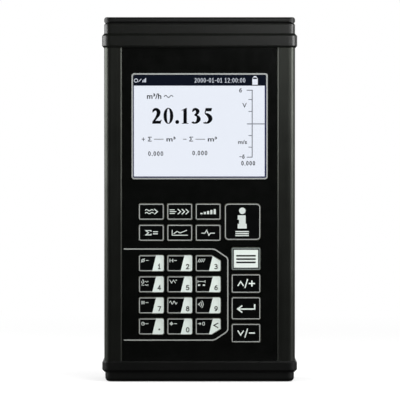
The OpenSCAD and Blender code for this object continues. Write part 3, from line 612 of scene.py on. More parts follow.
def moved(marks, across, up):
    """The same marks elsewhere; each is characters with their box, a band or one outline."""
    placed = []
    for mark in marks:
        if isinstance(mark[0], str):
            text, (x, z, width, height), weight = mark
            placed.append((text, (x + across, z + up, width, height), weight))
        elif isinstance(mark, tuple):
            placed.append(tuple([(x + across, z + up) for x, z in loop] for loop in mark))
        else:
            placed.append([(x + across, z + up) for x, z in mark])
    return placed


print("a bar cut in two has", len(part_beside(bar(0, 0, 2, 1), (1, 0), (1, 1), 1)), "points")

# %% [markdown]
# Screen-printed ink on such film is opaque and slightly matt. The digit fields and arrows
# are a greenish white, the other symbols the same in a thinner coat, the outlines and lines
# a silver grey, and the digits themselves a dark grey. A thin plate of the same colour
# could be glued on instead, but printing is what such keypads have.

# %% Printing inks
def printing_ink(name, darker, lighter, roughness=0.5):
    """Opaque screen ink; the mesh of the screen leaves a faint unevenness."""
    return plain_finish(name, darker, lighter, roughness, 0.7, 0.002, IOR=1.5)


white_ink = printing_ink("white_ink", "#E0EAE3", "#E5EEE8")
silver_ink = printing_ink("silver_ink", "#9DA09C", "#A5A8A4", 0.4)
bright_silver_ink = printing_ink("bright_silver_ink", "#959896", "#9DA09E", 0.4)
dark_ink = printing_ink("dark_ink", "#141815", "#191D1A")
label_ink = printing_ink("label_ink", "#C9D1CC", "#D1D9D4")
print("white ink in linear light:", [round(part, 2) for part in linear("#E5EEE8")[:3]])

# %% [markdown]
# The keys are pushed up out of the film, so each has its own place, size and rim, which come
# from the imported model. One function draws the outline of a key, or one a little inside it.
# Where a corner is cut off, the cut moves in as far as the sides do.

# %% Places and outlines of the keys
KEY_RADIUS = 1.0
INFO_RADIUS = 2.1
LEAST_RADIUS = 0.15
CUT_W_SHARE = 0.358
CUT_H_SHARE = 0.345
CUT_CORNERS = {"key_3": 1, "key_back": -1}

FUNCTION_KEYS = ["key_flow", "key_speed", "key_signal", "key_total", "key_graph", "key_test"]
NUMBER_KEYS = [f"key_{n}" for n in range(1, 10)] + ["key_point", "key_0", "key_back"]
SIDE_KEYS = ["key_info", "key_up", "key_enter", "key_down"]

Place = namedtuple("Place", "left low width height rim_y")


def key_place(key):
    """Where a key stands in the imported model, in millimetres; rim_y is the plane of its rim."""
    low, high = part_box(key)
    return Place(low.x / MM, low.z / MM, (high.x - low.x) / MM, (high.z - low.z) / MM, low.y / MM)


def key_line(key, inset):
    """Outline of a key, drawn in by inset all round."""
    place = key_place(key)
    radius = (INFO_RADIUS if key == "key_info" else KEY_RADIUS) - inset
    cut = None
    if key in CUT_CORNERS:
        cut_w = CUT_W_SHARE * place.width
        cut_h = CUT_H_SHARE * place.height
        slant = math.hypot(cut_w, cut_h)
        shorter_w = inset * (1 + (cut_w - slant) / cut_h)
        shorter_h = inset * (1 + (cut_h - slant) / cut_w)
        cut = (CUT_CORNERS[key], cut_w - shorter_w, cut_h - shorter_h)
    middle = (place.left + place.width / 2, place.low + place.height / 2)
    size = (place.width - 2 * inset, place.height - 2 * inset)
    return rounded(*middle, *size, max(radius, LEAST_RADIUS), cut)


print("keys:", len(FUNCTION_KEYS + NUMBER_KEYS + SIDE_KEYS) + 1)

# %% [markdown]
# Every key has a raised rim, and the outline is printed on top of it. On a number key the
# right-hand part is white with a slanted edge, so the cut outline gives a silver part on the
# left and a white part on the right, both on the rim, and one white field inside it.

# %% Rims and fields
RIM_W = 0.8
RIM_H = 0.2
PRINT_OUTSIDE = 0.18
PRINT_INSIDE = 0.66
PRINT_OVERHANG = 0.03
SLANT_HIGH_SHARE = 0.69
SLANT_LOW_SHARE = 0.53


def print_rim(key, ink):
    outer = key_line(key, PRINT_OUTSIDE)
    inner = key_line(key, PRINT_INSIDE)
    ink_piece(key + "_outline", [(outer, inner)], ink, key_place(key).rim_y, key)


def print_number_field(key):
    """Silver and white parts of the rim, and the white field inside it."""
    place = key_place(key)
    slant = (
        (place.left + SLANT_LOW_SHARE * place.width, place.low),
        (place.left + SLANT_HIGH_SHARE * place.width, place.low + place.height),
    )
    outer = key_line(key, PRINT_OUTSIDE)
    sides = (
        ("silver", silver_ink, 1, key_line(key, PRINT_INSIDE)),
        ("white", white_ink, -1, key_line(key, RIM_W + PRINT_OVERHANG)),
    )
    for colour, ink, side, inner in sides:
        outline = part_beside(outer, *slant, side) + part_beside(inner, *slant, side)[::-1]
        ink_piece(f"{key}_{colour}_rim", [outline], ink, place.rim_y, key)
    field = part_beside(key_line(key, RIM_W), *slant, -1)
    ink_piece(key + "_field", [field], white_ink, place.rim_y + RIM_H, key)


for key in FUNCTION_KEYS + SIDE_KEYS:
    print_rim(key, silver_ink)
for key in NUMBER_KEYS:
    print_number_field(key)
print("keys outlined:", len(FUNCTION_KEYS + SIDE_KEYS + NUMBER_KEYS))

# %% [markdown]
# Digits appear on the keys and on the display. The small ones are drawn with one even
# stroke, as a rounded sans has them. Each digit is a few open paths and closed loops in a
# box one unit wide and one unit high, so the same digits serve any size and weight.

# %% Plain digits
DIGIT_PATHS = {
    "1": [[(0.08, 0.8), (0.5, 1.0), (0.5, 0.0)], [(0.05, 0.0), (0.95, 0.0)]],
    "2": [[(0.04, 0.8), (0.18, 0.95), (0.45, 1.0), (0.76, 0.94), (0.9, 0.76), (0.78, 0.52), (0.04, 0.0),
           (1.0, 0.0)]],
    "3": [[(0.08, 0.92), (0.42, 1.0), (0.78, 0.93), (0.88, 0.76), (0.74, 0.58), (0.35, 0.54)],
          [(0.35, 0.54), (0.76, 0.48), (0.97, 0.28), (0.82, 0.07), (0.42, 0.0), (0.02, 0.08)]],
    "4": [[(0.72, 0.0), (0.72, 1.0), (0.02, 0.3), (1.0, 0.3)]],
    "5": [[(0.9, 1.0), (0.16, 1.0), (0.1, 0.56), (0.5, 0.62), (0.84, 0.52), (0.97, 0.3), (0.82, 0.08),
           (0.42, 0.0), (0.02, 0.07)]],
    "6": [[(0.86, 0.97), (0.5, 0.93), (0.18, 0.68), (0.04, 0.32)]],
    "7": [[(0.02, 1.0), (0.98, 1.0), (0.36, 0.0)]],
    "9": [[(0.96, 0.68), (0.82, 0.32), (0.5, 0.07), (0.14, 0.03)]],
}
DIGIT_LOOPS = {
    "0": [(0.5, 0.5, 0.5, 0.5)],
    "6": [(0.5, 0.31, 0.46, 0.31)],
    "8": [(0.5, 0.77, 0.38, 0.23), (0.5, 0.27, 0.48, 0.27)],
    "9": [(0.5, 0.69, 0.46, 0.31)],
}


def plain_digit(digit, left, low, width, height, stroke):
    """Marks of one digit that fills a box, its stroke included."""
    edge = stroke / 2
    across = width - stroke
    up = height - stroke

    def place(x, z):
        return left + edge + x * across, low + edge + z * up

    marks = [line([place(x, z) for x, z in path], stroke) for path in DIGIT_PATHS.get(digit, [])]
    for x, z, half_w, half_h in DIGIT_LOOPS.get(digit, []):
        marks.append(ring(*place(x, z), half_w * across, stroke, half_h * up))
    return marks


print("digits with paths or loops:", len(set(DIGIT_PATHS) | set(DIGIT_LOOPS)))

# %% [markdown]
# A row of digits shares its width out: a digit takes one part, a sign about half of one.

# %% Rows of digits
SIGN_SHARES = {".": 0.5, ":": 0.55, " ": 0.5, "-": 0.75}
BOX_SHARE = 0.74
DASH_SPAN = (0.05, 0.5)
DASH_UP = 0.45
POINT_X = 0.15
POINT_R = 0.62
COLON_UP = 0.62


def plain_text(text, left, low, width, height, stroke):
    """Marks of a row of digits and signs, spaced to fill the width."""
    unit = width / (sum(SIGN_SHARES.get(sign, 1) for sign in text) - 1 + BOX_SHARE)
    marks = []
    pen = left
    for sign in text:
        if sign == "-":
            start, end = [pen + share * unit for share in DASH_SPAN]
            marks.append(dash(start, end, low + DASH_UP * height, stroke))
        elif sign in ".:":
            heights = (stroke / 2, COLON_UP * height)[:1 + ".:".index(sign)]
            marks += [disc(pen + POINT_X * unit, low + z, POINT_R * stroke, 12) for z in heights]
        elif sign != " ":
            marks += plain_digit(sign, pen, low, BOX_SHARE * unit, height, stroke)
        pen += SIGN_SHARES.get(sign, 1) * unit
    return marks


print("a clock has", len(plain_text("12:00", 0, 0, 8, 2, 0.3)), "marks")

# %% [markdown]
# The digits of the keys stand low on the white fields, in dark ink. The point is a disc and
# the delete mark an open arrow head.

# %% Digits on the keys
DIGIT_W = 1.9
DIGIT_H = 2.8
DIGIT_STROKE = 0.5
ONE_W_SHARE = 0.78
DIGIT_AT = (0.812, 0.295)


def print_on_key(key, suffix, marks, ink, at=(0.5, 0.5), on_field=False):
    """Print marks on the face inside a key's rim, about a point in shares of the key's size."""
    place = key_place(key)
    x = place.left + at[0] * place.width
    z = place.low + at[1] * place.height
    surface = place.rim_y + RIM_H - (INK_MM if on_field else 0)
    ink_piece(f"{key}_{suffix}", moved(marks, x, z), ink, surface, key)


for key in NUMBER_KEYS:
    if key == "key_point":
        marks = [disc(0, 0.2, 0.5)]
    elif key == "key_back":
        marks = [line([(0.95, 3.5), (-1.15, 2.35), (0.95, 1.2)], 0.56)]
    else:
        digit = key[-1]
        digit_w = DIGIT_W * (ONE_W_SHARE if digit == "1" else 1)
        marks = plain_digit(digit, -digit_w / 2, -DIGIT_H / 2, digit_w, DIGIT_H, DIGIT_STROKE)
    print_on_key(key, "digit", marks, dark_ink, DIGIT_AT, on_field=True)


print("digits:", len(NUMBER_KEYS), "each", DIGIT_H, "mm high")

# %% [markdown]
# Where the real keys carry words, this model carries pictograms that mean the same to any
# user: a wave for flow, arrows for speed, bars for signal strength, a sum sign for the total,
# a chart, and a pulse for the test. Each keeps the size and place of the mark it stands for.

# %% Function symbols
SYMBOL_LINE = 0.5
THIN_LINE = 0.42
EQUALS_LIFT = 0.55


def wave(left, z, length, height, periods, steps=24):
    """Points of a sine wave."""
    return [
        (left + length * i / steps, z + height / 2 * math.sin(2 * math.pi * periods * i / steps))
        for i in range(steps + 1)
    ]


def chevron(x, z, width, height, heavy):
    """An arrow head that points to the right."""
    return line([(x, z + height / 2), (x + width, z), (x, z - height / 2)], heavy)


flow_marks = [line(wave(-3.2, z, 4.2, 0.7, 1.5), THIN_LINE) for z in (0.75, -0.75)]
flow_marks.append(chevron(1.7, 0, 1.5, 2.6, SYMBOL_LINE))
speed_marks = [dash(-5.2, end, z, THIN_LINE) for z, end in ((0.95, -2.8), (0, -1.9), (-0.95, -2.8))]
speed_marks += [chevron(2.1 * i - 0.9, 0, 1.35, 2.5, SYMBOL_LINE) for i in range(3)]
sigma = [(-0.2, 0.75), (-0.2, 1.15), (-2.9, 1.15), (-1.5, 0), (-2.9, -1.15), (-0.2, -1.15), (-0.2, -0.75)]
equals = [dash(1.1, 3.2, z, SYMBOL_LINE) for z in (EQUALS_LIFT, -EQUALS_LIFT)]
axes = line([(-4.0, 1.4), (-4.0, -1.3), (4.1, -1.3)], THIN_LINE)
curve = line([(-3.1, -0.5), (-1.4, 0.75), (0.2, -0.15), (3.6, 1.3)], THIN_LINE)
pulse = [(-3.4, -0.2), (-1.7, -0.2), (-0.8, 1.35), (0.4, -1.35), (1.2, -0.2), (3.4, -0.2)]
function_symbols = {
    "key_flow": flow_marks,
    "key_speed": speed_marks,
    "key_signal": [bar(1.75 * i - 4.1, -1.35, 1.15, 0.7 + 0.5 * i) for i in range(5)],
    "key_total": [line(sigma, SYMBOL_LINE)] + equals,
    "key_graph": [axes, curve],
    "key_test": [line(pulse, 0.45)],
}
for key, marks in function_symbols.items():
    print_on_key(key, "symbol", marks, label_ink)


print("function symbols:", len(function_symbols))

# %% [markdown]
# Each number key also opens a setting, marked small at its upper left. The symbols below
# stand for pipe size, wall, lining, liquid, sensor path, spacing, hold, trace, echo, clock,
# centring and zero. They are drawn in a field about 4 mm wide, two rows high on two keys.

# %% Setting symbols
FINE_LINE = 0.32
HAIR_LINE = 0.24
LABEL_X = 1.3
LABEL_DROP = 2.9
TOP_LEFT = (0, 1)

setting_symbols = {
    "key_1": [ring(1.0, 0, 0.72, FINE_LINE), line([(0.1, -0.95), (1.9, 0.95)], FINE_LINE),
              dash(2.6, 3.7, 0, FINE_LINE)],
    "key_2": [bar(0, -0.9, 0.4, 1.8), bar(1.5, -0.9, 0.4, 1.8), dash(0.55, 1.35, 0, 0.25),
              dash(2.5, 3.7, 0, FINE_LINE)],
    "key_3": [line([(0.95 * i, -0.85), (0.95 * i + 0.85, 0.85)], FINE_LINE) for i in range(4)],
    "key_4": [line(arc(0.85, -0.3, 0.62, -215, 35, 10) + [(0.85, 1.0)], FINE_LINE),
              line(wave(2.0, -0.1, 1.8, 0.4, 1.5, 12), 0.26), line(wave(2.0, -1.9, 1.8, 0.4, 1.5, 12), 0.26),
              line(wave(0.2, -1.9, 1.3, 0.4, 1, 10), 0.26)],
    "key_5": [line([(0.1, 0.8), (1.1, -0.8), (2.1, 0.8), (3.1, -0.8)], FINE_LINE), bar(3.2, 0.45, 0.6, 0.5)],
    "key_6": [dash(0, 3.8, 0, 0.28), upright(0, -0.6, 0.6, 0.3), upright(3.8, -0.6, 0.6, 0.3),
              bar(0, -2.3, 1.2, 0.8), bar(2.6, -2.3, 1.2, 0.8)],
    "key_7": [bar(0.2, -0.85, 0.55, 1.7), bar(1.2, -0.85, 0.55, 1.7), dash(2.4, 3.7, 0, FINE_LINE)],
    "key_8": [line(wave(0, 0, 3.9, 1.6, 2), FINE_LINE)],
    "key_9": [line(arc(0, -0.9, radius, -42, 42, 8), FINE_LINE) for radius in (1.0, 1.9, 2.8)]
             + [disc(0.25, -0.9, 0.34, 12)],
    "key_point": [ring(0.95, 0, 0.8, 0.28), line([(0.95, 0.45), (0.95, 0), (1.35, 0)], HAIR_LINE),
                  dash(2.4, 3.7, 0, FINE_LINE)],
    "key_0": [ring(1.0, 0, 0.62, 0.28), dash(0, 2.0, 0, HAIR_LINE), upright(1.0, -0.95, 0.95, HAIR_LINE),
              dash(2.6, 3.7, 0, FINE_LINE)],
    "key_back": [dash(0, 1.5, 0, FINE_LINE), chevron(1.0, 0, 0.6, 1.1, FINE_LINE),
                 (rounded(3.0, 0, 1.3, 1.9, 0.6), rounded(3.0, 0, 0.75, 1.35, 0.3))],
}
for key in NUMBER_KEYS:
    marks = moved(setting_symbols[key], LABEL_X, -LABEL_DROP)
    print_on_key(key, "setting", marks, label_ink, TOP_LEFT)


print("setting symbols:", len(setting_symbols))

# %% [markdown]
# The column on the right has the larger keys: a big letter i over three bars for stored
# data, a white menu key in a silver frame with a dark inner line, and the arrows with plus
# and minus round the enter key. All are drawn with the same few outlines.

# %% Data, menu and arrow keys
TOP_MIDDLE = (0.5, 1)
slab_i = [(-2.6, -6.3), (1.6, -6.3), (1.6, -10.8), (2.15, -10.8), (2.15, -13.25), (-2.6, -13.25),
          (-2.6, -10.8), (-1.85, -10.8), (-1.85, -8.6), (-2.6, -8.6)]
data_bars = [bar(-3.8, -15.2 - 1.05 * i, 7.1, 0.62) for i in range(3)]
print_on_key("key_info", "symbol", [disc(-0.15, -3.9, 1.72), slab_i] + data_bars, label_ink, TOP_MIDDLE)

MENU_FRAME_W = 0.8
MENU_LINE_W = 0.5
menu_face_y = key_place("key_menu").rim_y + RIM_H
menu_frame = printing_ink("menu_silver_ink", "#7E8782", "#8A938E", 0.35)
menu_line = printing_ink("menu_dark_ink", "#353B38", "#3B413E", 0.4)
print_rim("key_menu", menu_frame)
menu_outer = key_line("key_menu", MENU_FRAME_W)
menu_inner = key_line("key_menu", MENU_FRAME_W + MENU_LINE_W)
ink_piece("key_menu_inner_line", [(menu_outer, menu_inner)], menu_line, menu_face_y, "key_menu")
ink_piece("key_menu_field", [menu_inner], white_ink, menu_face_y, "key_menu")
menu_bars = [bar(-5.1, 1.15 - 1.75 * i, 10.2, 0.85) for i in range(3)]
print_on_key("key_menu", "symbol", menu_bars, dark_ink, on_field=True)

ARROW_LINE = 0.6
SIGN_LINE = 0.72
ENTER_LINE = 0.7
for key, up in (("key_up", 1), ("key_down", -1)):
    head = line([(-4.2, -1.1 * up), (-2.8, 1.1 * up), (-1.4, -1.1 * up)], ARROW_LINE)
    marks = [head, line([(-0.5, -2.2), (0.8, 2.2)], ARROW_LINE), dash(1.8, 4.45, 0, SIGN_LINE)]
    if up > 0:
        marks.append(upright(3.12, -1.3, 1.3, SIGN_LINE))
    print_on_key(key, "symbol", marks, white_ink)

enter_shaft = line([(4.6, 1.9), (4.6, -0.4), (-4.0, -0.4)], ENTER_LINE)
enter_head = line([(-2.2, 1.2), (-4.4, -0.4), (-2.2, -2.0)], ENTER_LINE)
print_on_key("key_enter", "symbol", [enter_shaft, enter_head], white_ink)
print("menu field:", len(menu_inner), "points")

# %% [markdown]
# Behind each key a dome of spring steel stands on the key circuit. Under the thumb it snaps
# flat, and that is the click one feels. The imported model has all its domes in one rigid part,
# so here every dome is a piece of its own.

# %% Snap domes behind the keys
DOME_R = 3.4
DOME_STEPS = 24
CUT_ROOM = 1e-6

dome_low, dome_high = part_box("snap_domes")
dome_h = dome_high.y - dome_low.y
domes = []
for key in FUNCTION_KEYS + SIDE_KEYS + NUMBER_KEYS + ["key_menu"]:
    place = key_place(key)
    middle = (place.left + place.width / 2, place.low + place.height / 2)
    foot = Vector((middle[0] * MM, dome_high.y, middle[1] * MM))
    lens = Matrix.Translation(foot) @ Matrix.Diagonal((DOME_R * MM, dome_h, DOME_R * MM, 1))
    lens = lens @ Matrix.Rotation(math.radians(90), 4, "X")
    mesh = bmesh.new()
    bmesh.ops.create_uvsphere(mesh, u_segments=DOME_STEPS, v_segments=DOME_STEPS // 2, radius=1, matrix=lens)
    behind = [vertex for vertex in mesh.verts if vertex.co.y > foot.y + CUT_ROOM]
    bmesh.ops.delete(mesh, geom=behind, context="VERTS")
    bmesh.ops.holes_fill(mesh, edges=mesh.edges)
    dome = riding_piece(key + "_dome", mesh, finishes["dome"], "housing")
    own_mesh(dome)
    domes.append(dome)
for dome in domes:
    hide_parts("snap_domes")
print("domes:", len(domes), "each", round(dome_h / MM, 2), "mm high")

# %% [markdown]
# Two more silver lines are printed on the film itself: the frame round the display and the
# line that fences the number keys off from the arrow column, with its two slanted corners.
# The frame takes its place from the window and the fence from the keys beside it.

# %% Lines on the film
FRAME_LINE_W = 0.78
FRAME_GAP = 0.05
FRAME_INNER_R = 0.6
FRAME_OUTER_R = 1.4
WINDOW_LIP = 3.0

film_low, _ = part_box("keypad_film")
film_y = film_low.y / MM
window_low, window_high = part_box("display_window")
pane_left = window_low.x / MM + WINDOW_LIP
pane_low = window_low.z / MM + WINDOW_LIP
pane_w = (window_high.x - window_low.x) / MM - 2 * WINDOW_LIP
pane_h = (window_high.z - window_low.z) / MM - 2 * WINDOW_LIP
pane_middle = (pane_left + pane_w / 2, pane_low + pane_h / 2)
frame_lines = []
for grown, radius in ((2 * (FRAME_GAP + FRAME_LINE_W), FRAME_OUTER_R), (2 * FRAME_GAP, FRAME_INNER_R)):
    frame_lines.append(rounded(*pane_middle, pane_w + grown, pane_h + grown, radius))
ink_piece("display_frame_line", [tuple(frame_lines)], bright_silver_ink, film_y, "housing")
print("window:", round(pane_w, 1), "x", round(pane_h, 1), "mm")

# %% [markdown]
# The fence keeps off the arrow column. It starts at the left edge of the film, runs above
# and below the number keys, and has two slanted corners at the right, each a little round.

# %% The fence round the number keys
FENCE_W = 0.62
FENCE_ABOVE = 3.15
FENCE_BELOW = 2.9
FENCE_BESIDE = 3.7
FENCE_CUT_W = 7.1
FENCE_CUT_H = 4.8
FENCE_BEND = 1.3
FENCE_MARGIN = 0.9


def bend_corners(points, reach, steps=5):
    """Turn each corner of a path into a short curve that starts reach before it."""
    path = [Vector(p) for p in points]
    curve = [path[0]]
    for before, corner, after in zip(path, path[1:], path[2:]):
        first = corner + (before - corner).normalized() * reach
        last = corner + (after - corner).normalized() * reach
        for i in range(steps + 1):
            t = i / steps
            curve.append((1 - t) ** 2 * first + 2 * t * (1 - t) * corner + t ** 2 * last)
    return curve + [path[-1]]


corner_key = key_place("key_3")
fence_left = film_low.x / MM + FENCE_MARGIN
fence_right = corner_key.left + corner_key.width + FENCE_BESIDE
fence_high = corner_key.low + corner_key.height + FENCE_ABOVE
fence_low = key_place("key_back").low - FENCE_BELOW
fence = [
    (fence_left, fence_high),
    (fence_right - FENCE_CUT_W, fence_high),
    (fence_right, fence_high - FENCE_CUT_H),
    (fence_right, fence_low + FENCE_CUT_H),
    (fence_right - FENCE_CUT_W, fence_low),
    (fence_left, fence_low),
]
fence_mark = line(bend_corners(fence, FENCE_BEND), FENCE_W)
ink_piece("fence_line", [fence_mark], silver_ink, film_y, "housing")
print("fence:", round(fence_right - fence_left, 1), "x", round(fence_high - fence_low, 1), "mm")

# %% [markdown]
# The cover closes on a thin lip of soft rubber that keeps dust out of the joint. It is glued
# under the front and side edges of the cover and stops short of the hinge. Its path is drawn
# like any other line, in the plane of the rim, so the plate is laid flat afterwards.

# %% Dust lip under the cover
JOINT_GAP = 0.25
LIP_INSET = 1.3
LIP_W = 0.9
LIP_CLEAR = 0.02
LIP_SHORT = 8.0
LIP_BEND = 3.0

cover_low, cover_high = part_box("socket_cover")
lip_x = cover_high.x / MM - LIP_INSET
lip_front = cover_low.y / MM + LIP_INSET
lip_back = cover_high.y / MM - LIP_SHORT
lip_path = [(-lip_x, lip_back), (-lip_x, lip_front), (lip_x, lip_front), (lip_x, lip_back)]
lip_low = cover_low.z / MM - JOINT_GAP + LIP_CLEAR
lip_outline = line(bend_corners(lip_path, LIP_BEND), LIP_W)
lip_h = JOINT_GAP - 2 * LIP_CLEAR
rubber = finishes["gasket"]
lip = ink_piece("cover_dust_lip", [lip_outline], rubber, -lip_low, "socket_cover", lip_h)
lip.data.transform(Matrix.Rotation(math.radians(-90), 4, "X"))
print("dust lip height:", round(lip_h, 2), "mm")

# %% [markdown]
# The display shows its picture behind the acrylic. A lit display gives off light of its own,
# so each colour on it is an emission that reads as written, whatever the lamps do. The
# picture is built of thin plates in front of the display glass: a white field, a navy title
# bar and border, then the readings. Sizes are millimetres from the field's lower left corner.

# %% The lit field
LEFT_BORDER = 0.35
RIGHT_BORDER = 0.7
LOW_BORDER = 0.6
FIELD_X = pane_left + LEFT_BORDER
FIELD_Z = pane_low + LOW_BORDER
FIELD_W = pane_w - LEFT_BORDER - RIGHT_BORDER
FIELD_H = pane_h - LOW_BORDER
TITLE_H = 5.7
TITLE_Z = FIELD_H - TITLE_H
TITLE_MARGIN = 1.0
BORDER_W = 1.3
PIXEL_MM = 0.25
PIXEL_H = 0.02
WINDOW_LOSS = 1.09
GAP_SHARE = 0.98


def lit_colour(name, colour):
    """A display colour: black to the lamps, with its own light; the window takes a little."""
    material = new_material(name, "#000000", 0.4, Specular_IOR_Level=0.0, Emission_Strength=WINDOW_LOSS)
    tree = material.node_tree
    cells = add_node(tree, "ValToRGB", {"Fac": pattern(material, PIXEL_MM, detail=0.0)})
    red, green, blue, alpha = linear(colour)
    cells.color_ramp.elements[0].color = (red * GAP_SHARE, green * GAP_SHARE, blue * GAP_SHARE, alpha)
    cells.color_ramp.elements[1].color = (red, green, blue, alpha)
    tree.links.new(cells.outputs["Color"], shader_of(material).inputs["Emission Color"])
    return material


SCREEN_COLOURS = {
    "white": "#E9EEF8",
    "navy": "#0D121E",
    "edge": "#1C2048",
    "black": "#07080C",
    "dark": "#14171F",
    "grey": "#464A54",
    "pale": "#D4DAE6",
    "mid": "#8C909A",
}
screen = {name: lit_colour("screen_" + name, colour) for name, colour in SCREEN_COLOURS.items()}
screen_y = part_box("lcd_glass")[0].y / MM


def show_on_display(name, marks, colour, layer):
    """Put marks on the display; layer counts the plates behind them."""
    placed = moved(marks, FIELD_X, FIELD_Z)
    surface = screen_y - layer * PIXEL_H * 2
    ink_piece("display_" + name, placed, screen[colour], surface, "housing", PIXEL_H)


border = bar(-BORDER_W, -BORDER_W, FIELD_W + 2 * BORDER_W, FIELD_H + 2 * BORDER_W)
title_bar = bar(-TITLE_MARGIN, TITLE_Z, FIELD_W + 2 * TITLE_MARGIN, TITLE_H + TITLE_MARGIN)
show_on_display("border", [border], "edge", 0)
show_on_display("field", [bar(0, 0, FIELD_W, TITLE_Z)], "white", 1)
show_on_display("title_bar", [title_bar], "navy", 1)
print("display field:", round(FIELD_W, 1), "x", round(FIELD_H, 1), "mm")

# %% [markdown]
# The large reading is set in a bold face with thick upright strokes and thin cross strokes,
# as a broad nib writes. A nib stroke is a smooth path whose half-width changes from point to
# point, so every digit here is a short list of such points in a box one unit high.

# %% Large digits
def smooth(points, steps=6):
    """A smooth curve through points, by the Catmull-Rom rule; it works on widths as well."""
    path = [Vector(p) for p in points]
    padded = [2 * path[0] - path[1]] + path + [2 * path[-1] - path[-2]]
    curve = []
    for a, b, c, d in zip(padded, padded[1:], padded[2:], padded[3:]):
        for i in range(steps):
            t = i / steps
            curve.append(0.5 * (2 * b + (c - a) * t + (2 * a - 5 * b + 4 * c - d) * t ** 2
                                + (3 * b - a - 3 * c + d) * t ** 3))
    return curve + [path[-1]]


def nib_stroke(points):
    """Outline of a stroke; each point is x, z and half-width."""
    path = smooth(points)
    left = []
    right = []
    for i, point in enumerate(path):
        way = path[min(i + 1, len(path) - 1)] - path[max(i - 1, 0)]
        side = Vector((-way.y, way.x)).normalized() * point.z
        left.append((point.x + side.x, point.y + side.y))
        right.append((point.x - side.x, point.y - side.y))
    return right + left[::-1]


print("a nib stroke has", len(nib_stroke([(0, 0, 1), (1, 0, 1)])), "points")

# %% [markdown]
# The digits of the reading are nib strokes, straight feet and one ellipse with a hole. They
# stand on one line, each as far from the last as the face spaces its figures.

# %% The reading
LARGE_DIGITS = {
    "0": [(ellipse(0.31, 0.5, 0.315, 0.515), ellipse(0.31, 0.5, 0.1, 0.465))],
    "1": [[(0.13, 0.0), (0.57, 0.0), (0.57, 0.03), (0.46, 0.06), (0.46, 1.01), (0.42, 1.01),
           (0.12, 0.86), (0.12, 0.83), (0.24, 0.85), (0.24, 0.06), (0.13, 0.03)]],
    "2": [nib_stroke([(0.05, 0.71, 0.02), (0.12, 0.86, 0.075), (0.28, 0.92, 0.09), (0.42, 0.78, 0.125),
                      (0.4, 0.58, 0.115), (0.27, 0.36, 0.075), (0.1, 0.12, 0.065)]),
          [(0.02, 0.0), (0.56, 0.0), (0.63, 0.26), (0.595, 0.26), (0.53, 0.19), (0.05, 0.19), (0.02, 0.06)]],
    "3": [nib_stroke([(0.07, 0.75, 0.02), (0.15, 0.88, 0.075), (0.28, 0.93, 0.08), (0.41, 0.8, 0.12),
                      (0.35, 0.64, 0.08), (0.2, 0.55, 0.03)]),
          nib_stroke([(0.2, 0.55, 0.03), (0.38, 0.49, 0.07), (0.47, 0.3, 0.135), (0.37, 0.11, 0.09),
                      (0.22, 0.045, 0.05), (0.11, 0.08, 0.075), (0.1, 0.1, 0.085)])],
    "5": [[(0.17, 1.0), (0.59, 1.0), (0.53, 0.79), (0.2, 0.79), (0.17, 0.69), (0.1, 0.66)],
          nib_stroke([(0.12, 0.65, 0.03), (0.29, 0.58, 0.09), (0.44, 0.43, 0.13), (0.47, 0.27, 0.13),
                      (0.36, 0.1, 0.08), (0.21, 0.045, 0.05), (0.1, 0.08, 0.075), (0.09, 0.09, 0.08)])],
    ".": [disc(0.13, 0.11, 0.125)],
}
READING_LEFT = 9.5
READING_LOW = 27.9
READING_H = 8.3
DIGIT_ADVANCE = 6.16
POINT_ADVANCE = 2.35


def scaled(outline, size):
    return [(x * size, z * size) for x, z in outline]


reading = []
pen = READING_LEFT
for digit in "20.135":
    for shape in LARGE_DIGITS[digit]:
        if isinstance(shape, tuple):
            shape = tuple(scaled(loop, READING_H) for loop in shape)
        else:
            shape = scaled(shape, READING_H)
        reading += moved([shape], pen, READING_LOW)
    pen += POINT_ADVANCE if digit == "." else DIGIT_ADVANCE
show_on_display("reading", reading, "black", 2)
print("reading:", len(reading), "strokes,", round(pen - READING_LEFT, 1), "mm wide")

# %% [markdown]
# Around the reading stand the small items: a clock and a battery in the title bar, the units,
# two totals with their sums, and a scale for the flow speed with a mark at zero. Words are
# again left to symbols and units; the numbers are plain.

# %% Small items on the display
SMALL_TEXT_H = 2.4
battery_marks = [bar(62.6, 0.5, 2.9, 3.0), bar(63.3, 4.35, 1.5, 0.7),
                 line([(62.75, 3.5), (62.75, 3.9), (63.35, 4.4)], 0.24),
                 line([(65.35, 3.5), (65.35, 3.9), (64.75, 4.4)], 0.24)]
title_marks = plain_text("2000-01-01 12:00:00", 32.05, 1.65, 26.85, SMALL_TEXT_H, 0.28)
title_marks += [ring(1.1, 2.75, 0.9, 0.34), line([(2.5, 2.1), (3.8, 3.5)], 0.32)]
title_marks += [bar(4.5 + 0.7 * i, 1.8, 0.5, 1.0 + 0.6 * i) for i in range(3)]
show_on_display("clock", moved(title_marks, 0, TITLE_Z), "pale", 2)
show_on_display("battery", moved(battery_marks, 0, TITLE_Z), "white", 2)

UNIT_WEIGHT = 0.02
LABEL_LINE = 0.4
labels = [("m³/h", (6.9, 41.0, 7.6, 2.9), UNIT_WEIGHT), ("m/s", (55.1, 17.2, 4.7, 2.1), UNIT_WEIGHT)]
labels += plain_text("6", 55.6, 44.4, 1.5, 2.3, LABEL_LINE)
labels += plain_text("-6", 55.9, 9.4, 2.7, 2.3, LABEL_LINE)
labels.append(line([(57.6, 38.7), (58.5, 36.8), (59.4, 38.7)], LABEL_LINE))
labels.append(line(wave(16.0, 42.3, 4.6, 1.1, 1.5), LABEL_LINE))
show_on_display("labels", labels, "dark", 2)

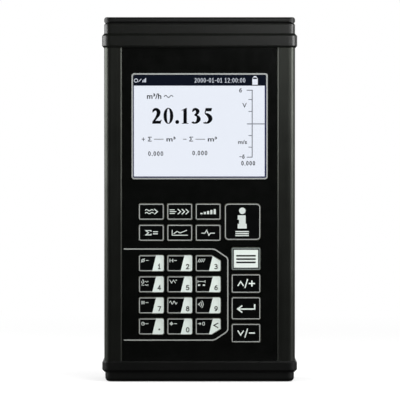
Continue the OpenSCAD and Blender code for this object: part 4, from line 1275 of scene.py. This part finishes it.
SUM_Z = 19.7
sums = []
for left, low, width in ((7.5, 10.9, 8.0), (30.9, 11.2, 7.9), (56.8, 5.8, 7.3)):
    sums += plain_text("0.000", left, low, width, SMALL_TEXT_H, 0.42)
for left, is_plus in ((4.2, True), (26.1, False)):
    sums.append(dash(left, left + 1.6, SUM_Z, 0.34))
    if is_plus:
        sums.append(upright(left + 0.8, SUM_Z - 0.8, SUM_Z + 0.8, 0.34))
    sums.append(("Σ", (left + 3.1, 18.5, 2.1, 2.5), UNIT_WEIGHT))
    sums.append(dash(left + 6.6, left + 11.4, SUM_Z, 0.32))
    sums.append(("m³", (left + 13.0, 18.5, 4.8, 2.5), UNIT_WEIGHT))
show_on_display("totals", sums, "dark", 2)
print("marks:", len(title_marks), "in the title,", len(sums), "in the sums")

# %% [markdown]
# The speed scale is one upright line with short ticks, and a broader grey line at zero.

# %% Speed scale
SCALE_X = 62.55
SCALE_LOW = 10.2
SCALE_HIGH = 45.6
SCALE_ZERO = 27.5
ZERO_LEFT = 59.8
END_TICK = 2.7
TICK = 1.8
TICK_HEIGHTS = (15.5, 21.6, 34.4, 40.7)

scale = [upright(SCALE_X, SCALE_LOW, SCALE_HIGH, 0.42)]
scale += [dash(SCALE_X - END_TICK, SCALE_X, z, 0.4) for z in (SCALE_LOW, SCALE_HIGH)]
scale += [dash(SCALE_X - TICK, SCALE_X, z, 0.36) for z in TICK_HEIGHTS]
show_on_display("scale", scale, "grey", 2)
show_on_display("scale_zero", [bar(ZERO_LEFT, SCALE_ZERO, FIELD_W - ZERO_LEFT, 0.6)], "mid", 3)
print("scale:", round(SCALE_HIGH - SCALE_LOW, 1), "mm with", len(scale) - 1, "ticks")

# %% [markdown]
# The studio is plain: a pale floor that carries a soft shadow, a white surround that the
# camera and bright reflections see, and large soft lamps. The film looks black because the
# side towards the camera is left dark for reflections, as a photographer would flag it off.

# %% Floor
FLOOR_FRONT = -0.13
FLOOR_BACK = 1.6
FLOOR_HALF_W = 1.3
FLOOR_Z = -0.0002

floor_mesh = bmesh.new()
floor_corners = bar(-FLOOR_HALF_W, FLOOR_FRONT, 2 * FLOOR_HALF_W, FLOOR_BACK - FLOOR_FRONT)
floor_mesh.faces.new([floor_mesh.verts.new((x, y, FLOOR_Z)) for x, y in floor_corners])
floor_data = bpy.data.meshes.new("floor")
floor_mesh.to_mesh(floor_data)
floor_mesh.free()
new_object("floor", floor_data)
print("floor:", 2 * FLOOR_HALF_W, "x", round(FLOOR_BACK - FLOOR_FRONT, 2), "m")

# %% [markdown]
# The floor is white paper lit until it is as white as the wall, with the shadow left in near
# the object. So its look is mixed: it glows, and close to the object half of it is shaded by
# the lamps. To the object it is a dull grey, as flagged paper is, so it throws little light
# up. From below it is clear.

# %% Floor paper
SHADOW_SHARE = 0.5
SHADOW_NEAR = 0.12
SHADOW_FAR = 0.6

WHITE = linear("#FFFFFF")
paper = new_material("studio_paper", "#262626", 0.8)
paper_tree = paper.node_tree
rays = add_node(paper_tree, "LightPath")
seen = add_node(paper_tree, "Math", {
    0: rays.outputs["Is Camera Ray"],
    1: rays.outputs["Is Transmission Ray"],
}, operation="MAXIMUM")
glow = add_node(paper_tree, "Emission", {"Color": WHITE, "Strength": 1.0})
shaded = add_node(paper_tree, "BsdfDiffuse", {"Color": WHITE})
place = add_node(paper_tree, "TexCoord")
reach = add_node(paper_tree, "VectorMath", {0: place.outputs["Object"]}, operation="LENGTH")
fade = add_node(paper_tree, "MapRange", {
    "Value": reach.outputs["Value"],
    "From Min": SHADOW_NEAR,
    "From Max": SHADOW_FAR,
    "To Min": SHADOW_SHARE,
    "To Max": 0.0,
}, interpolation_type="SMOOTHSTEP")
backdrop_look = add_node(paper_tree, "MixShader", {
    "Fac": fade.outputs["Result"],
    1: glow.outputs["Emission"],
    2: shaded.outputs["BSDF"],
})
by_ray = add_node(paper_tree, "MixShader", {
    "Fac": seen.outputs["Value"],
    1: shader_of(paper).outputs["BSDF"],
    2: backdrop_look.outputs["Shader"],
})
side = add_node(paper_tree, "NewGeometry")
clear = add_node(paper_tree, "BsdfTransparent")
one_sided = add_node(paper_tree, "MixShader", {
    "Fac": side.outputs["Backfacing"],
    1: by_ray.outputs["Shader"],
    2: clear.outputs["BSDF"],
})
paper_tree.links.new(one_sided.outputs["Shader"], paper_tree.nodes["Material Output"].inputs["Surface"])
floor_data.materials.append(paper)
print("shadow fades from", SHADOW_NEAR, "to", SHADOW_FAR, "m")

# %% [markdown]
# The room round it is a white cloth, which the camera sees as it is. It gives the object an
# even, weaker light. Reflections see the cloth only behind the object and low down; in front
# it is covered with black, which keeps the film dark.

# %% World
AMBIENT = 0.6
BEHIND_START = -0.15
BEHIND_FULL = 0.75
GLOSSY_FRONT = 0.02
GLOSSY_BACK = 0.9
BACKDROP_TOP = 0.2
BACKDROP_END = 0.6

world = bpy.data.worlds.new("studio")
bpy.context.scene.world = world
world.use_nodes = True
sky = world.node_tree
rays = add_node(sky, "LightPath")
way = add_node(sky, "TexCoord")
parts = add_node(sky, "SeparateXYZ", {"Vector": way.outputs["Generated"]})
behind = add_node(sky, "MapRange", {
    "Value": parts.outputs["Y"],
    "From Min": BEHIND_START,
    "From Max": BEHIND_FULL,
    "To Min": GLOSSY_FRONT,
    "To Max": GLOSSY_BACK,
}, interpolation_type="SMOOTHSTEP")
high_up = add_node(sky, "MapRange", {
    "Value": parts.outputs["Z"],
    "From Min": BACKDROP_TOP,
    "From Max": BACKDROP_END,
    "To Min": 1.0,
    "To Max": 0.0,
}, interpolation_type="SMOOTHSTEP")
mirror_level = add_node(sky, "Math", {
    0: behind.outputs["Result"],
    1: high_up.outputs["Result"],
}, operation="MULTIPLY")
reflected = add_node(sky, "Background", {
    "Color": WHITE,
    "Strength": mirror_level.outputs["Value"],
})
ambient = add_node(sky, "Background", {"Color": WHITE, "Strength": AMBIENT})
white = add_node(sky, "Background", {"Color": WHITE, "Strength": 1.0})
mirrored = add_node(sky, "Math", {
    0: rays.outputs["Is Glossy Ray"],
    1: rays.outputs["Is Transmission Ray"],
}, operation="MAXIMUM")
lighting = add_node(sky, "MixShader", {
    "Fac": mirrored.outputs["Value"],
    1: ambient.outputs["Background"],
    2: reflected.outputs["Background"],
})
surround = add_node(sky, "MixShader", {
    "Fac": rays.outputs["Is Camera Ray"],
    1: lighting.outputs["Shader"],
    2: white.outputs["Background"],
})
sky.links.new(surround.outputs["Shader"], sky.nodes["World Output"].inputs["Surface"])
print("world nodes:", len(sky.nodes))

# %% [markdown]
# Three soft lamps make the gleam on the case. The main one hangs close in front on the right,
# a little above the cover, so its light fades towards the foot. Two side panels draw the long
# highlights down the rounded corners: the left one reaches round behind, the right one does
# not.

# %% Lamps
def soft_lamp(name, place, aim, size, power):
    """A rectangular lamp at place that faces aim; size is its width and height in metres."""
    data = bpy.data.lights.new(name, "AREA")
    data.shape = "RECTANGLE"
    data.size, data.size_y = size
    data.energy = power
    lamp = new_object(name, data)
    lamp.location = place
    lamp.rotation_euler = (Vector(aim) - Vector(place)).to_track_quat("-Z", "Y").to_euler()
    lamp.visible_camera = False


soft_lamp("main_lamp", place=(0.15, -0.3, 0.32), aim=(0.0, 0.0, 0.13), size=(0.2, 0.2), power=0.7)
soft_lamp("left_panel", place=(-0.5, 0.0, 0.25), aim=(0.0, 0.0, 0.14), size=(0.5, 0.32), power=2.9)
soft_lamp("right_panel", place=(0.48, -0.18, 0.27), aim=(0.0, 0.0, 0.13), size=(0.28, 0.32), power=2.3)
print("lamps:", len(bpy.data.lights))

# %% [markdown]
# The camera stands a good metre and a half in front, level with the display, with a long
# lens, and looks slightly down. So the sides stay nearly parallel and the top of the foot
# just shows its edge. The view takes in 211 mm at the front of the case.

# %% Camera
SENSOR_MM = 36.0
VIEW_W = 0.2113
DISTANCE = 1.575
CAMERA_Z = 0.13
AIM_Z = 0.0961
AIM_X = 0.0002
FRONT_INSET = 0.0016

aim = Vector((AIM_X, cad_low.y + FRONT_INSET, AIM_Z))
rise = CAMERA_Z - AIM_Z
back_off = math.sqrt(DISTANCE ** 2 - rise ** 2)
camera_data = bpy.data.cameras.new("camera")
camera_data.sensor_width = SENSOR_MM
camera_data.lens = SENSOR_MM * DISTANCE / VIEW_W
camera = new_object("camera", camera_data)
camera.location = aim + Vector((0.0, -back_off, rise))
camera.rotation_euler = (aim - camera.location).to_track_quat("-Z", "Y").to_euler()
bpy.context.scene.camera = camera
bpy.context.scene.view_settings.view_transform = "Standard"
print("lens:", round(camera_data.lens), "mm")
